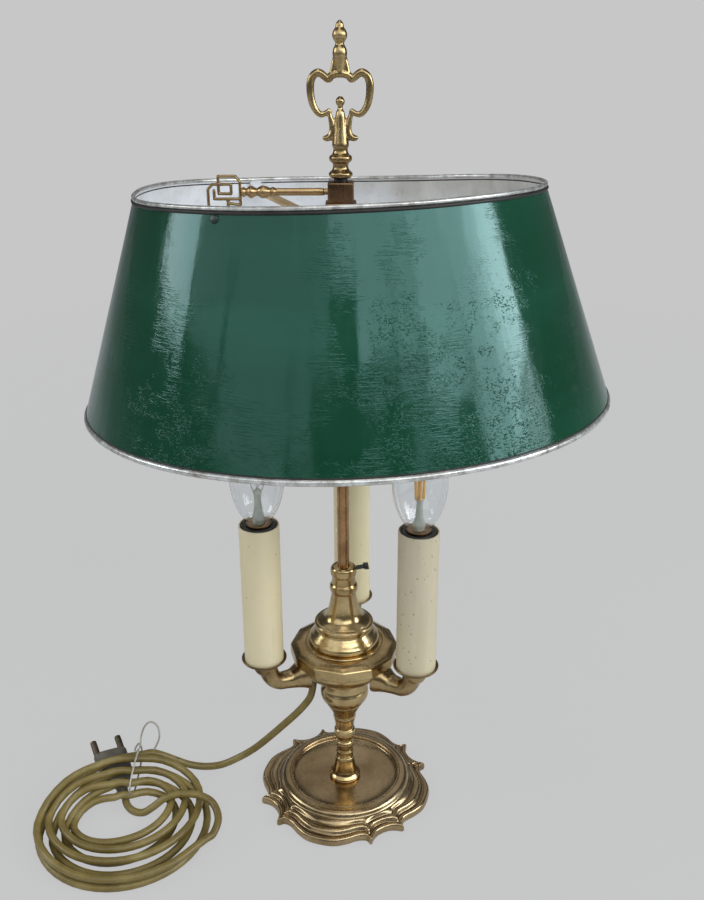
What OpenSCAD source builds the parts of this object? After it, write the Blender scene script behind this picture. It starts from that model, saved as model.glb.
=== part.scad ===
// Three-light table lamp of the bouillotte kind: a cast foot with a turned stem, a hub with
// three candle arms, and a painted metal shade that slides on a rod and is held by a key screw.
// Millimetres. Origin: centre of the foot's underside, on the rod's axis. +Z up, front at -Y.
// Each piece stacks on the one below, so its height moves all that it carries.

/* [Foot] */
// Distance from the axis to the middle of each side lobe
foot_lobe_r = 63; // [58:0.5:70]
// Distance from the axis to the tip of each cusp
foot_cusp_r = 63.5; // [60:0.5:72]
// Distance from the axis to the hollow between the two cusps of a corner
foot_hollow_r = 56.5; // [53:0.5:58]
// Distance from the axis to the notch beside each cusp
foot_notch_r = 58; // [55:0.5:60]
// Angle between a corner's middle and each of its cusps
foot_cusp_angle = 12; // [8:0.5:16]
// Turn of the foot about the axis
foot_turn = -16; // [-45:1:45]
// Height of the foot's outer edge
foot_edge_h = 6; // [4:0.5:8]
// Width of each step between the edge and the raised ring
foot_step_w = 5; // [3:0.5:5.5]
// Height of each of those two steps
foot_step_h = 2.2; // [1:0.1:3]
// Height of the dished floor
dish_floor_h = 11; // [8:0.5:12]
// Radius of the dished floor's flat
dish_floor_r = 30.5; // [25:0.5:33]
// Inner radius of the raised ring
ring_inner_r = 38.7; // [35:0.1:40]
// Width of the raised ring
ring_w = 8; // [7:0.5:11]
// Height of the raised ring's top
ring_top_h = 16; // [14.5:0.5:19]
// Radius of the recess under the foot
recess_r = 48; // [30:1:50]
// Depth of the recess under the foot
recess_h = 3; // [1:0.5:3.5]
// Thickness of the felt that closes the recess
felt_t = 1.2; // [0.8:0.1:2]

/* [Tie rod] */
// Diameter of the threaded rod that clamps the stand together
tie_d = 8; // [6:0.5:8]
// Width across flats of the nut under the foot
nut_af = 13; // [11:0.5:16]
// Thickness of the nut under the foot
nut_h = 3; // [2:0.5:4]
// Outer diameter of the washer under the foot
washer_d = 19; // [15:0.5:24]
// Thickness of the washer
washer_h = 1.2; // [0.8:0.1:2]

/* [Stem] */
// Height of the flared stem foot
stem_foot_h = 26; // [20:0.5:34]
// Radius of the stem foot's flare
stem_foot_r = 11.3; // [9:0.1:14]
// Radius of the stem foot's neck
stem_neck_r = 7.3; // [6.5:0.1:9]
// Height of the beaded middle piece
stem_bead_h = 18; // [12:0.5:26]
// Radius of its large bead
stem_bead_r = 7.6; // [6.5:0.1:9]
// Height of the cup that carries the hub
stem_cup_h = 46; // [36:0.5:60]
// Radius of the cup
stem_cup_r = 17; // [14:0.1:20]

/* [Hub] */
// Height of the hub's bowl below its belt
hub_bowl_h = 16; // [14:0.5:20]
// Radius of the bowl where it meets the cup
hub_seat_r = 18; // [16:0.5:20]
// Radius of the bowl under the belt
hub_bowl_r = 36; // [34:0.5:36]
// Radius of the belt at its corners
hub_belt_r = 37.8; // [37.4:0.1:40]
// Height of the belt
hub_belt_h = 8; // [6:0.5:12]
// Wall of the hub
hub_wall = 3.4; // [2.5:0.1:4.5]
// Height of the hub's domed cover
hub_cover_h = 3.6; // [3:0.1:6]
// Turn of the hub's corners about the axis
hub_turn = -1; // [-15:1:15]

/* [Column] */
// Height of the moulded column base
column_base_h = 12.4; // [9:0.1:18]
// Radius of the column base
column_base_r = 24.6; // [22:0.1:26]
// Height of the column
column_h = 46.5; // [42:0.5:56]
// Radius of the column's lower ring
column_ring_r = 20.4; // [17:0.1:22]
// Radius of the column's waist
column_waist_r = 8.4; // [7.8:0.1:10]
// Radius of the larger of the two collar beads
collar_r = 9.6; // [9:0.1:12]
// Diameter of the clamping screw in the collar
collar_screw_d = 3; // [2:0.1:3.5]
// Reach of that screw's head from the axis
collar_screw_reach = 17.5; // [15:0.5:22]
// Direction in which that screw points
collar_screw_turn = 20; // [-60:1:60]

/* [Rod] */
// Diameter of the rod
rod_d = 8; // [7:0.1:9]
// Length of the rod inside the column
rod_insert = 32; // [25:1:34]
// Length of the rod above the column
rod_h = 255; // [230:1:300]

/* [Arms and candles] */
// Distance from the axis to the candles
candle_reach = 59.3; // [57:0.1:66]
// Turn of the three arms about the axis
arm_turn = -5.6; // [-15:0.1:15]
// Outer diameter of the arm tubes
arm_d = 12; // [9:0.5:12]
// Height of the arms' level part above the bottom of the hub
arm_rise = 6.7; // [5:0.1:8]
// Bend radius of the arms
arm_bend_r = 9; // [8:0.5:10]
// Bore of the arms for the wires
arm_bore_d = 4.4; // [3:0.1:5]
// Radius of each drip pan
pan_r = 15.2; // [15:0.1:20]
// Thickness of the drip pans
pan_t = 1.2; // [0.8:0.1:2]
// Height of the pans above the arms' level part
pan_rise = 20.5; // [19:0.5:28]
// Outer diameter of the candle sleeves
sleeve_d = 26.4; // [25.5:0.1:28]
// Wall of the candle sleeves
sleeve_t = 1.2; // [0.8:0.1:1.5]
// Height of the candle sleeves
sleeve_h = 100.8; // [85:0.1:120]
// Outer diameter of the lamp holders
holder_d = 22.6; // [21:0.1:22.8]
// Height of the lamp holders
holder_h = 52; // [40:1:60]
// Drop of the holders below the top of the sleeves
holder_drop = 0.5; // [0:0.5:6]
// Diameter of the nipple tubes that carry the holders
nipple_d = 8; // [7:0.5:9]

/* [Bulbs] */
// Diameter of the screw caps
cap_d = 14; // [13:0.1:14.5]
// Height of the screw caps
cap_h = 27; // [24:0.5:30]
// Depth of the caps inside the holders
cap_depth = 25; // [20:0.5:28]
// Diameter of the bulbs
bulb_d = 35; // [30:0.5:37]
// Height of the glass above the cap
bulb_h = 72; // [60:1:74]
// Thickness of the glass
glass_t = 0.8; // [0.6:0.1:1.2]

/* [Shade] */
// Outer radius of the shade at its top
shade_top_r = 119.6; // [105:0.1:130]
// Outer radius of the shade at its bottom
shade_bottom_r = 159.6; // [140:0.1:180]
// Height of the shade
shade_h = 121.2; // [100:0.1:150]
// Thickness of the shade's metal
shade_t = 0.8; // [0.6:0.1:1.2]
// Diameter of the wire in the top rim
top_wire_d = 3; // [2:0.1:4]
// Diameter of the wire in the bottom rim
bottom_wire_d = 3.6; // [2:0.1:5]
// Lean of the shade on its bent strips
shade_lean = 2.4; // [0:0.1:3]
// Direction of the shade's low side
shade_lean_way = 135; // [0:1:359]
// Depth of the strips below the carrier block
spider_below = 13.4; // [8:0.1:16]
// Depth of the strips' hub below the shade's top rim
spider_drop = 22; // [18:0.1:26]
// Rise of the strips from their hub to the shade's wall
strip_rise = 15.7; // [10:0.1:17]
// Width of the three strips that carry the shade
strip_w = 8; // [6:0.5:12]
// Thickness of the strips
strip_t = 1.6; // [1.2:0.1:2]
// Thickness of the disc that joins them
strip_hub_t = 2.6; // [2.4:0.1:3.5]
// Direction of the first strip
strip_turn = 120; // [100:1:130]
// Height of the strips' ends, turned up the shade's wall
strip_tab_h = 5.3; // [5:0.1:6]
// Diameter of the rivet heads
rivet_d = 5; // [4:0.5:7]

/* [Carrier and key] */
// Width of the square carrier block
carrier_w = 15.3; // [14:0.1:19]
// Height of the carrier block
carrier_h = 13.6; // [12:0.1:17]
// Width of the flange at the block's foot
carrier_flange_w = 18.4; // [18:0.1:22]
// Height of that flange
carrier_flange_h = 2; // [1.5:0.1:3]
// Diameter of the carrier's spigot, on which the shade turns
spigot_d = 12; // [11:0.1:13]
// Length of that spigot
spigot_h = 19; // [18.9:0.1:22]
// Thickness of the ring nut under the strips
ring_nut_h = 3.5; // [2.5:0.1:4.5]
// Gap between the finial and the carrier at the top of its travel
carrier_gap = 2; // [1:0.1:4]
// Diameter of the key's shaft
key_d = 4.4; // [3.5:0.1:5]
// Distance from the axis to the key's beads
key_bead_at = 46.6; // [40:0.1:55]
// Diameter of the key's beads
key_bead_d = 7.4; // [6:0.1:9]
// Width of the key's pierced bow
key_bow_w = 21; // [16:0.5:22]
// Height of the key's pierced bow
key_bow_h = 20; // [16:0.5:20.5]
// Thickness of the key's bow
key_bow_t = 3; // [2:0.1:4]
// Width of the bow's bars
key_bar = 2; // [1.4:0.1:2.4]

/* [Finial] */
// Height of the finial
finial_h = 85; // [70:1:110]
// Half width of the finial's two loops, to the outside of their bars
finial_loop_r = 19.1; // [16:0.1:23]
// Thickness of the loops' bars
finial_bar_d = 4.6; // [3.5:0.1:5]
// Radius of the finial's lower ring
finial_ring_r = 7; // [6:0.1:9]

/* [Cord] */
// Diameter of the cord
cord_d = 5.5; // [5:0.1:6]
// Radius of the coil's outer turns, to the middle of the cord
coil_r = 63.5; // [58:0.5:66]
// Distance between neighbouring turns of the coil
coil_pitch = 9.4; // [9:0.1:10.5]
// Thickness of the plug's body
plug_t = 11; // [10:0.5:13]
// Width of the plug's body
plug_w = 25; // [22:0.5:28]
// Diameter of the plug's pins
pin_d = 4.8; // [4:0.1:5]
// Length of the plug's pins
pin_l = 19; // [17:0.5:20]
// Distance between the plug's pins
pin_gap = 19; // [18:0.5:20]
// Length of the plug's body
plug_l = 34; // [30:1:36]

/* [Hidden] */
$fn = 72;

fit = 0.1;                       // clearance of a screwed or seated part, on the radius
slide_fit = 0.08;                // clearance of a sliding or turning part, on the radius
cut = 1;                         // how far a cutting shape runs past the face it cuts
side_dirs = [210, 330, 90];      // left, right and back candle, before arm_turn
brass = [0.72, 0.56, 0.30];
dark_brass = [0.55, 0.40, 0.22];
steel = [0.45, 0.45, 0.46];
dark_steel = [0.16, 0.15, 0.15];
pewter = [0.62, 0.62, 0.60];
cream = [0.86, 0.81, 0.66];
shade_green = [0.05, 0.29, 0.20];
cord_colour = [0.50, 0.44, 0.22];

recess_drop = 1;                 // how far the nut stands below the foot's recess
shoulder_gap = 0.3;              // play of the strips' hub between its nut and its shoulder
shoulder_rim = 2.5;              // how far the carrier's shoulder stands out from its spigot
nut_wall = 3.9;                  // from the spigot to the corners of the ring nut
hub_wall_w = 5;                  // from the spigot to the edge of the strips' hub
strip_root = 2.2;                // length of a strip let into the edge of its hub

// Heights of the stack, from the floor up
washer_top_z = recess_h + nut_h + washer_h - recess_drop;
nut_z = washer_top_z - washer_h - nut_h;
tie_proud = 0.5;                 // end of the tie rod below its nut
stem_z = dish_floor_h;
beads_z = stem_z + stem_foot_h;
cup_z = beads_z + stem_bead_h;
hub_z = cup_z + stem_cup_h;
belt_z = hub_z + hub_bowl_h;
cover_z = belt_z + hub_belt_h;
column_base_z = cover_z + hub_cover_h;
column_z = column_base_z + column_base_h;
column_top_z = column_z + column_h;
rod_z = column_top_z - rod_insert;
rod_top_z = column_top_z + rod_h;
tie_top_z = rod_z - 3;
arm_z = hub_z + arm_rise;
pan_z = arm_z + pan_rise;
sleeve_z = pan_z + pan_t;
sleeve_top_z = sleeve_z + sleeve_h;
holder_z = sleeve_top_z - holder_drop - holder_h;
holder_top_z = sleeve_top_z - holder_drop;
cap_z = holder_top_z - cap_depth;
glass_z = cap_z + cap_h;
finial_z = rod_top_z;
carrier_top_z = finial_z - carrier_gap;
carrier_z = carrier_top_z - carrier_h;
key_z = carrier_z + carrier_flange_h + (carrier_h - carrier_flange_h) / 2;
collar_screw_z = column_top_z - 4.2;
spider_z = carrier_z - spider_below;
shoulder_z = spider_z + strip_hub_t / 2 + shoulder_gap;
ring_nut_z = spider_z - ring_nut_h - strip_hub_t / 2 - shoulder_gap;
strip_foot_z = spider_z + strip_rise;
rivet_z = strip_foot_z + strip_tab_h - 2.5;
shade_top_z = spider_z + spider_drop;
shade_z = shade_top_z - shade_h;

// ---------- shared shapes ----------

// A point on the smooth curve through four successive points
function curve_point(a, b, c, d, t) =
    0.5 * ((2 * b) + (c - a) * t + (2 * a - 5 * b + 4 * c - d) * t * t
    + (3 * b - a - 3 * c + d) * t * t * t);

// The smooth curve through a list of points, with steps points for each of its stretches
function smooth(pts, steps) = [
    for (i = [0 : len(pts) - 2])
        for (s = [0 : steps - 1])
            curve_point(pts[max(i - 1, 0)], pts[i], pts[i + 1], pts[min(i + 2, len(pts) - 1)],
                s / steps),
    pts[len(pts) - 1]
];

function unit(v) = v / norm(v);

// The direction of a path at its point i
function heading(path, i) =
    unit(path[min(i + 1, len(path) - 1)] - path[max(i - 1, 0)]);

// The direction of the sweep's first side at point i, square to the path and near to side
function across(path, i, side) =
    let (h = heading(path, i)) unit(side - (side * h) * h);

// A tube swept along a path; radii holds its radius at each point
module sweep(path, radii, sides, side) {
    rings = [
        for (i = [0 : len(path) - 1])
            let (h = heading(path, i), n = across(path, i, side), m = cross(h, n))
                for (k = [0 : sides - 1])
                    path[i] + radii[i] * (cos(360 * k / sides) * n + sin(360 * k / sides) * m)
    ];
    last = (len(path) - 1) * sides;
    polyhedron(
        points = rings,
        faces = concat(
            [[for (k = [sides - 1 : -1 : 0]) k]],
            [[for (k = [0 : sides - 1]) last + k]],
            [
                for (i = [0 : len(path) - 2])
                    for (k = [0 : sides - 1])
                        let (a = i * sides + k, b = i * sides + (k + 1) % sides)
                            each [[a, b, a + sides], [b, b + sides, a + sides]]
            ]),
        convexity = 8);
}

// A turned piece: profile is [radius, share of the height] up its outside, h the full height
module turned(profile, z, h, bore_r = 0) {
    outline = [for (p = smooth(profile, 3)) [p[0], z + p[1] * h]];
    rotate_extrude()
        polygon(concat([[bore_r, outline[0][1]]], outline, [[bore_r, outline[len(outline) - 1][1]]]));
}

// Children placed on each candle's axis, or on one of them
module at_candle(i) {
    rotate(side_dirs[i] + arm_turn)
        translate([candle_reach, 0, 0])
            children();
}

module tube(outer_r, inner_r, z, h) {
    translate([0, 0, z])
        difference() {
            cylinder(r = outer_r, h = h);
            translate([0, 0, -cut])
                cylinder(r = inner_r, h = h + 2 * cut);
        }
}

// ---------- foot ----------

// Radius of the foot's outline at an angle from the middle of a lobe
foot_shape = [
    [0, foot_lobe_r], [9, foot_lobe_r - 0.3], [17, foot_lobe_r - 2.5],
    [(33 + 45 - foot_cusp_angle) / 2 - 8, foot_notch_r],
    [45 - foot_cusp_angle - 2, foot_notch_r + 1.2],
    [45 - foot_cusp_angle, foot_cusp_r],
    [45 - foot_cusp_angle + 3, foot_cusp_r - 3.4],
    [45 - foot_cusp_angle + 7, foot_hollow_r + 0.9], [45, foot_hollow_r]
];
foot_half = smooth(foot_shape, 2);
foot_outline = [
    for (q = [0 : 3])
        each concat(
            [for (p = foot_half) [q * 90 + p[0], p[1]]],
            [for (i = [len(foot_half) - 2 : -1 : 1]) [q * 90 + 90 - foot_half[i][0], foot_half[i][1]]])
];

// The foot's outline, drawn in by inset
module foot_plan(inset) {
    polygon([for (p = foot_outline) (p[1] - inset) * [cos(p[0] + foot_turn), sin(p[0] + foot_turn)]]);
}

module base_foot() {
    ring_r = ring_w / 2;
    color(brass)
        difference() {
            union() {
                for (step = [0 : 2])
                    linear_extrude(foot_edge_h + step * foot_step_h)
                        foot_plan(step * foot_step_w);
                rotate_extrude()
                    translate([ring_inner_r + ring_r, 0])
                        union() {
                            translate([0, ring_top_h - ring_r])
                                circle(ring_r);
                            translate([-ring_r, foot_edge_h])
                                square([ring_w, ring_top_h - ring_r - foot_edge_h]);
                        }
            }
            rotate_extrude()
                polygon([
                    [0, dish_floor_h], [dish_floor_r, dish_floor_h],
                    [dish_floor_r + 4, dish_floor_h + 0.6],
                    [ring_inner_r - 1.2, dish_floor_h + 2],
                    [ring_inner_r, ring_top_h - ring_r], [ring_inner_r, ring_top_h + cut],
                    [0, ring_top_h + cut]]);
            translate([0, 0, -cut])
                cylinder(r = recess_r, h = recess_h + cut);
            translate([0, 0, -cut])
                cylinder(d = washer_d + 2, h = washer_top_z + cut);
            translate([0, 0, -cut])
                cylinder(r = tie_d / 2 + fit, h = ring_top_h + 2 * cut);
        }
}

module base_felt() {
    color([0.20, 0.22, 0.20])
        cylinder(r = recess_r - fit, h = felt_t);
}

module base_nut() {
    color(steel)
        difference() {
            union() {
                translate([0, 0, nut_z])
                    cylinder(r = nut_af / 2 / cos(30), h = nut_h, $fn = 6);
                translate([0, 0, washer_top_z - washer_h])
                    cylinder(d = washer_d, h = washer_h);
            }
            translate([0, 0, nut_z - cut])
                cylinder(d = tie_d, h = nut_h + washer_h + 2 * cut);
        }
}

module tie_rod() {
    color(steel)
        translate([0, 0, nut_z - tie_proud])
            cylinder(d = tie_d, h = tie_top_z - nut_z + tie_proud);
}

// ---------- stem ----------

module stem_foot() {
    color(brass)
        turned([
            [stem_foot_r - 0.8, 0], [stem_foot_r, 0.05], [stem_foot_r - 0.2, 0.1],
            [stem_foot_r - 1.6, 0.18], [stem_neck_r + 1.2, 0.28], [stem_neck_r, 0.48],
            [stem_neck_r - 0.5, 0.62], [stem_neck_r - 1.9, 0.72], [stem_neck_r - 2, 0.77],
            [stem_neck_r - 1.4, 0.82], [stem_neck_r - 1.4, 0.9], [stem_neck_r - 1.9, 0.96],
            [stem_neck_r - 1.9, 1]], stem_z, stem_foot_h, tie_d / 2 + fit);
}

module stem_beads() {
    color(brass)
        turned([
            [stem_bead_r - 2, 0], [stem_bead_r - 1.5, 0.1], [stem_bead_r - 1.5, 0.24],
            [stem_bead_r - 2.1, 0.36], [stem_bead_r - 1.9, 0.5], [stem_bead_r - 0.6, 0.62],
            [stem_bead_r, 0.7], [stem_bead_r, 0.84], [stem_bead_r - 0.7, 0.93],
            [stem_bead_r - 1.4, 1]], beads_z, stem_bead_h, tie_d / 2 + fit);
}

module stem_cup() {
    color(brass)
        turned([
            [stem_bead_r - 1.2, 0], [stem_bead_r - 0.4, 0.1], [stem_bead_r + 0.2, 0.18],
            [stem_bead_r + 0.6, 0.2], [stem_bead_r + 0.3, 0.23], [stem_cup_r * 0.56, 0.32],
            [stem_cup_r * 0.66, 0.4], [stem_cup_r * 0.8, 0.48], [stem_cup_r * 0.94, 0.57],
            [stem_cup_r, 0.66], [stem_cup_r - 0.1, 0.74], [stem_cup_r - 1.3, 0.8],
            [stem_cup_r - 1.7, 0.88], [stem_cup_r - 0.8, 0.95], [stem_cup_r + 0.5, 1]],
            cup_z, stem_cup_h, tie_d / 2 + fit);
}

// ---------- hub ----------

// Outside of the hub's bowl, as [radius, height]
hub_side = smooth([
    [hub_seat_r, hub_z], [hub_seat_r + 6, hub_z + hub_bowl_h * 0.16],
    [hub_bowl_r - 6, hub_z + hub_bowl_h * 0.44], [hub_bowl_r - 2, hub_z + hub_bowl_h * 0.74],
    [hub_bowl_r, belt_z]], 3);

module hub_outside() {
    rotate_extrude()
        polygon(concat([[0, hub_z]], hub_side, [[0, belt_z]]));
    translate([0, 0, belt_z])
        rotate(hub_turn)
            cylinder(r = hub_belt_r, h = hub_belt_h, $fn = 12);
}

module hub_bowl() {
    color(brass)
        difference() {
            hub_outside();
            rotate_extrude()
                polygon([
                    [0, hub_z + hub_wall], [hub_seat_r, hub_z + hub_wall + 0.5],
                    [hub_bowl_r - hub_wall - 6, hub_z + hub_bowl_h * 0.44 + hub_wall],
                    [hub_bowl_r - hub_wall - 1, belt_z], [hub_bowl_r - hub_wall - 1, cover_z + cut],
                    [0, cover_z + cut]]);
            translate([0, 0, hub_z - cut])
                cylinder(r = tie_d / 2 + fit, h = hub_wall + 2 * cut);
            translate([gland_at[0], gland_at[1], hub_z - cut])
                cylinder(r = gland_r + fit, h = hub_wall + 6);
            for (i = [0 : 2])
                rotate(side_dirs[i] + arm_turn)
                    translate([hub_seat_r - 4, 0, arm_z])
                        rotate([0, 90, 0])
                            cylinder(r = arm_spigot_r + fit, h = hub_belt_r);
        }
}

module hub_cover() {
    lip_r = hub_bowl_r - hub_wall - 1 - fit;
    color(brass)
        difference() {
            union() {
                intersection() {
                    translate([0, 0, cover_z])
                        rotate(hub_turn)
                            cylinder(r = hub_belt_r, h = hub_cover_h, $fn = 12);
                    turned([
                        [hub_belt_r + 0.4, 0], [hub_belt_r - 4, 0.42], [column_base_r + 2.6, 0.74],
                        [column_base_r + 1.6, 0.8], [column_base_r + 1.2, 1]],
                        cover_z, hub_cover_h);
                }
                translate([0, 0, cover_z - 2])
                    cylinder(r = lip_r, h = 2 + hub_cover_h / 2);
            }
            translate([0, 0, cover_z - 2 - cut])
                cylinder(r = lip_r - 3, h = 2 + cut);
            translate([0, 0, cover_z - 2 * cut])
                cylinder(r = tie_d / 2 + fit, h = hub_cover_h + 4 * cut);
        }
}

terminal_at = [10.8, 0];

module terminal_block() {
    color("ivory")
        translate([terminal_at[0] - 4.5, terminal_at[1] - 7.5, hub_z + hub_wall + 0.5])
            cube([9, 15, 9]);
}

// ---------- column ----------

module column_base() {
    color(brass)
        turned([
            [column_base_r - 1.4, 0], [column_base_r - 0.1, 0.1], [column_base_r, 0.3],
            [column_base_r - 0.9, 0.46], [column_base_r - 3.6, 0.66], [column_ring_r - 1, 0.86],
            [column_ring_r - 1.2, 1]], column_base_z, column_base_h, tie_d / 2 + fit);
}

module column() {
    bead_r = collar_r - 0.7;
    color(brass)
        difference() {
            turned([
                [column_ring_r - 1.2, 0], [column_ring_r, 0.03], [column_ring_r, 0.065],
                [column_ring_r - 1.5, 0.085], [column_ring_r - 5, 0.115],
                [column_waist_r + 4.2, 0.18], [column_waist_r + 2.6, 0.26],
                [column_waist_r + 1.2, 0.37], [column_waist_r + 0.3, 0.48],
                [column_waist_r, 0.545], [column_waist_r + 0.1, 0.57], [collar_r - 0.2, 0.61],
                [collar_r, 0.645], [collar_r - 0.2, 0.68], [bead_r - 0.8, 0.72],
                [bead_r - 0.9, 0.8], [bead_r - 0.5, 0.845], [bead_r, 0.875], [bead_r, 0.935],
                [bead_r - 0.6, 0.975], [bead_r - 2, 1]], column_z, column_h);
            translate([0, 0, column_z - cut])
                cylinder(r = tie_d / 2, h = tie_top_z - column_z + cut);
            translate([0, 0, rod_z])
                cylinder(r = rod_d / 2 + slide_fit, h = rod_insert + cut);
            translate([0, 0, collar_screw_z])
                rotate([0, 90, collar_screw_turn])
                    cylinder(r = collar_screw_d / 2 + fit, h = collar_r + cut);
        }
}

module collar_screw() {
    tip = rod_d / 2 + slide_fit;
    color(dark_steel)
        translate([0, 0, collar_screw_z])
            rotate([0, 90, collar_screw_turn]) {
                translate([0, 0, tip])
                    cylinder(d = collar_screw_d, h = collar_screw_reach - tip - 1);
                translate([0, 0, collar_screw_reach - 2.4])
                    cylinder(d = collar_screw_d + 1.8, h = 2.4);
                translate([0, 0, collar_screw_reach - 1.2])
                    rotate([90, 0, 0])
                        cylinder(d = 1.6, h = collar_screw_d + 5, center = true);
            }
}

// ---------- rod and finial ----------

stud_d = 5;
stud_h = 9;

module rod() {
    color(brass)
        union() {
            translate([0, 0, rod_z])
                cylinder(d = rod_d, h = rod_top_z - rod_z);
            translate([0, 0, rod_top_z - cut])
                cylinder(d = stud_d, h = stud_h + cut);
        }
}

// Middle line of the right loop, from the scroll at its top round to the scroll at its foot,
// and of the leaf below it, as shares of the loop's half width and of the finial's height
loop_x = finial_loop_r - finial_bar_d / 2;
loop_path = [for (p = smooth([
    [0.1, 0.81], [0.2, 0.73], [0.28, 0.66], [0.38, 0.636], [0.5, 0.65], [0.62, 0.67],
    [0.76, 0.678], [0.92, 0.655], [1, 0.61], [1, 0.55], [0.95, 0.49], [0.84, 0.445],
    [0.68, 0.416], [0.5, 0.422], [0.34, 0.445]], 2))
    [p[0] * loop_x, 0, finial_z + p[1] * finial_h]];
leaf_path = [for (p = smooth([
    [0.4, 0.44], [0.3, 0.37], [0.25, 0.315], [0.33, 0.275], [0.5, 0.262], [0.58, 0.275]], 3))
    [p[0] * loop_x, 0, finial_z + p[1] * finial_h]];

// Radius along a bar: full in its middle, thinner at its ends
function bar_radii(path, ends) = [
    for (i = [0 : len(path) - 1])
        finial_bar_d / 2 * (ends + (1 - ends) * sin(180 * i / (len(path) - 1)))
];

module finial() {
    r = finial_ring_r;
    color(brass)
        difference() {
            turned([
                [r - 1.6, 0], [r, 0.012], [r, 0.03], [r - 1.2, 0.045], [r - 2.4, 0.075],
                [r - 2.2, 0.1], [r - 0.4, 0.12], [r - 0.4, 0.14], [r - 2.6, 0.165],
                [r - 2.8, 0.19], [r - 2.2, 0.215], [r - 2.7, 0.26], [r - 3.8, 0.34],
                [r - 4.6, 0.43], [r - 5.6, 0.455], [r - 5.4, 0.475], [r - 4.5, 0.5],
                [r - 5.4, 0.525], [r - 6.6, 0.533]], finial_z, finial_h);
            translate([0, 0, finial_z - cut])
                cylinder(r = stud_d / 2 + fit, h = stud_h + 0.5 + cut);
        }
}

module finial_top() {
    r = finial_ring_r;
    color(brass)
        turned([
            [r - 5.2, 0.66], [r - 4.6, 0.7], [r - 3, 0.78], [r - 3.4, 0.83],
            [r - 4.2, 0.865], [r - 3.2, 0.895], [r - 2.8, 0.92], [r - 3.6, 0.945],
            [r - 4.6, 0.955], [r - 4.8, 0.975], [r - 5.6, 0.99], [r - 6.8, 1]],
            finial_z, finial_h);
}

module finial_loops() {
    color(brass)
        for (side = [0, 1])
            mirror([side, 0, 0])
                sweep(loop_path, bar_radii(loop_path, 0.62), 10, [0, 1, 0]);
}

module finial_leaves() {
    color(brass)
        for (side = [0, 1])
            mirror([side, 0, 0])
                sweep(leaf_path, bar_radii(leaf_path, 0.45), 8, [0, 1, 0]);
}

// ---------- carrier, key and strips ----------

module carrier() {
    cap_h = 1.6;
    color(dark_brass)
        difference() {
            union() {
                translate([-carrier_w / 2, -carrier_w / 2, carrier_z])
                    cube([carrier_w, carrier_w, carrier_h - cap_h]);
                translate([-carrier_w / 2 + 1, -carrier_w / 2 + 1, carrier_z])
                    cube([carrier_w - 2, carrier_w - 2, carrier_h]);
                translate([-carrier_flange_w / 2, -carrier_flange_w / 2, carrier_z])
                    cube([carrier_flange_w, carrier_flange_w, carrier_flange_h]);
                translate([0, 0, carrier_z - spigot_h])
                    cylinder(d = spigot_d, h = spigot_h + cut);
                translate([0, 0, shoulder_z])
                    cylinder(r = spigot_d / 2 + shoulder_rim, h = carrier_z - shoulder_z + cut);
            }
            translate([0, 0, carrier_z - spigot_h - cut])
                cylinder(r = rod_d / 2 + slide_fit, h = spigot_h + carrier_h + 2 * cut);
            translate([-carrier_w / 2 - cut, 0, key_z])
                rotate([0, 90, 0])
                    cylinder(r = key_d / 2 - 0.4 + fit, h = carrier_w / 2 + cut);
        }
}

module ring_nut() {
    color(dark_brass)
        translate([0, 0, ring_nut_z])
            difference() {
                cylinder(r = spigot_d / 2 + nut_wall, h = ring_nut_h, $fn = 6);
                translate([0, 0, -cut])
                    cylinder(d = spigot_d, h = ring_nut_h + 2 * cut);
            }
}

// Children leaned with the shade about the middle of the strips' hub
module leaned() {
    translate([0, 0, spider_z])
        rotate(a = shade_lean, v = [-sin(shade_lean_way), cos(shade_lean_way), 0])
            translate([0, 0, -spider_z])
                children();
}

// Outer radius of the shade at height z
function shade_r(z) =
    shade_bottom_r + (shade_top_r - shade_bottom_r) * (z - shade_z) / shade_h;

shade_slope = atan((shade_bottom_r - shade_top_r) / shade_h);
tab_gap = 0.14;

// Outer face of a strip's tab at height z, just inside the shade's wall
function tab_r(z) = shade_r(z) - shade_t / cos(shade_slope) - tab_gap;

// One strip, drawn from the side: rising from the hub to the wall, then a tab up the wall
module strip_profile(start_r) {
    half = strip_t / 2;
    top = strip_foot_z + strip_tab_h;
    thick = strip_t / cos(shade_slope);
    polygon([
        [start_r, spider_z - half], [tab_r(strip_foot_z - half), strip_foot_z - half],
        [tab_r(top), top], [tab_r(top) - thick, top],
        [tab_r(strip_foot_z + half) - thick, strip_foot_z + half], [start_r, spider_z + half]]);
}

spider_hub_r = spigot_d / 2 + hub_wall_w;

// The disc that turns on the carrier's spigot, with the three strips soldered into its edge
module spider_hub() {
    color(brass)
        difference() {
            translate([0, 0, spider_z - strip_hub_t / 2])
                cylinder(r = spider_hub_r, h = strip_hub_t);
            translate([0, 0, spider_z - strip_hub_t])
                cylinder(r = spigot_d / 2 + slide_fit, h = 2 * strip_hub_t);
        }
}

module spider() {
    color(brass)
        leaned()
            for (k = [0 : 2])
                rotate(strip_turn + 120 * k)
                    rotate([90, 0, 0])
                        linear_extrude(strip_w, center = true)
                            strip_profile(spider_hub_r - strip_root);
}

module shade_rivets() {
    color(pewter)
        leaned()
            for (k = [0 : 2])
                rotate(strip_turn + 120 * k)
                    translate([shade_r(rivet_z), 0, rivet_z])
                        rotate([0, 90 - shade_slope, 0])
                            cylinder(d1 = rivet_d, d2 = rivet_d * 0.6, h = 1.2);
}

module shade() {
    color(shade_green)
        leaned()
            rotate_extrude($fn = 96)
                polygon([
                    [shade_r(shade_z) - shade_t / cos(shade_slope), shade_z],
                    [shade_r(shade_z), shade_z], [shade_top_r, shade_top_z],
                    [shade_top_r - shade_t / cos(shade_slope), shade_top_z]]);
}

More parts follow.
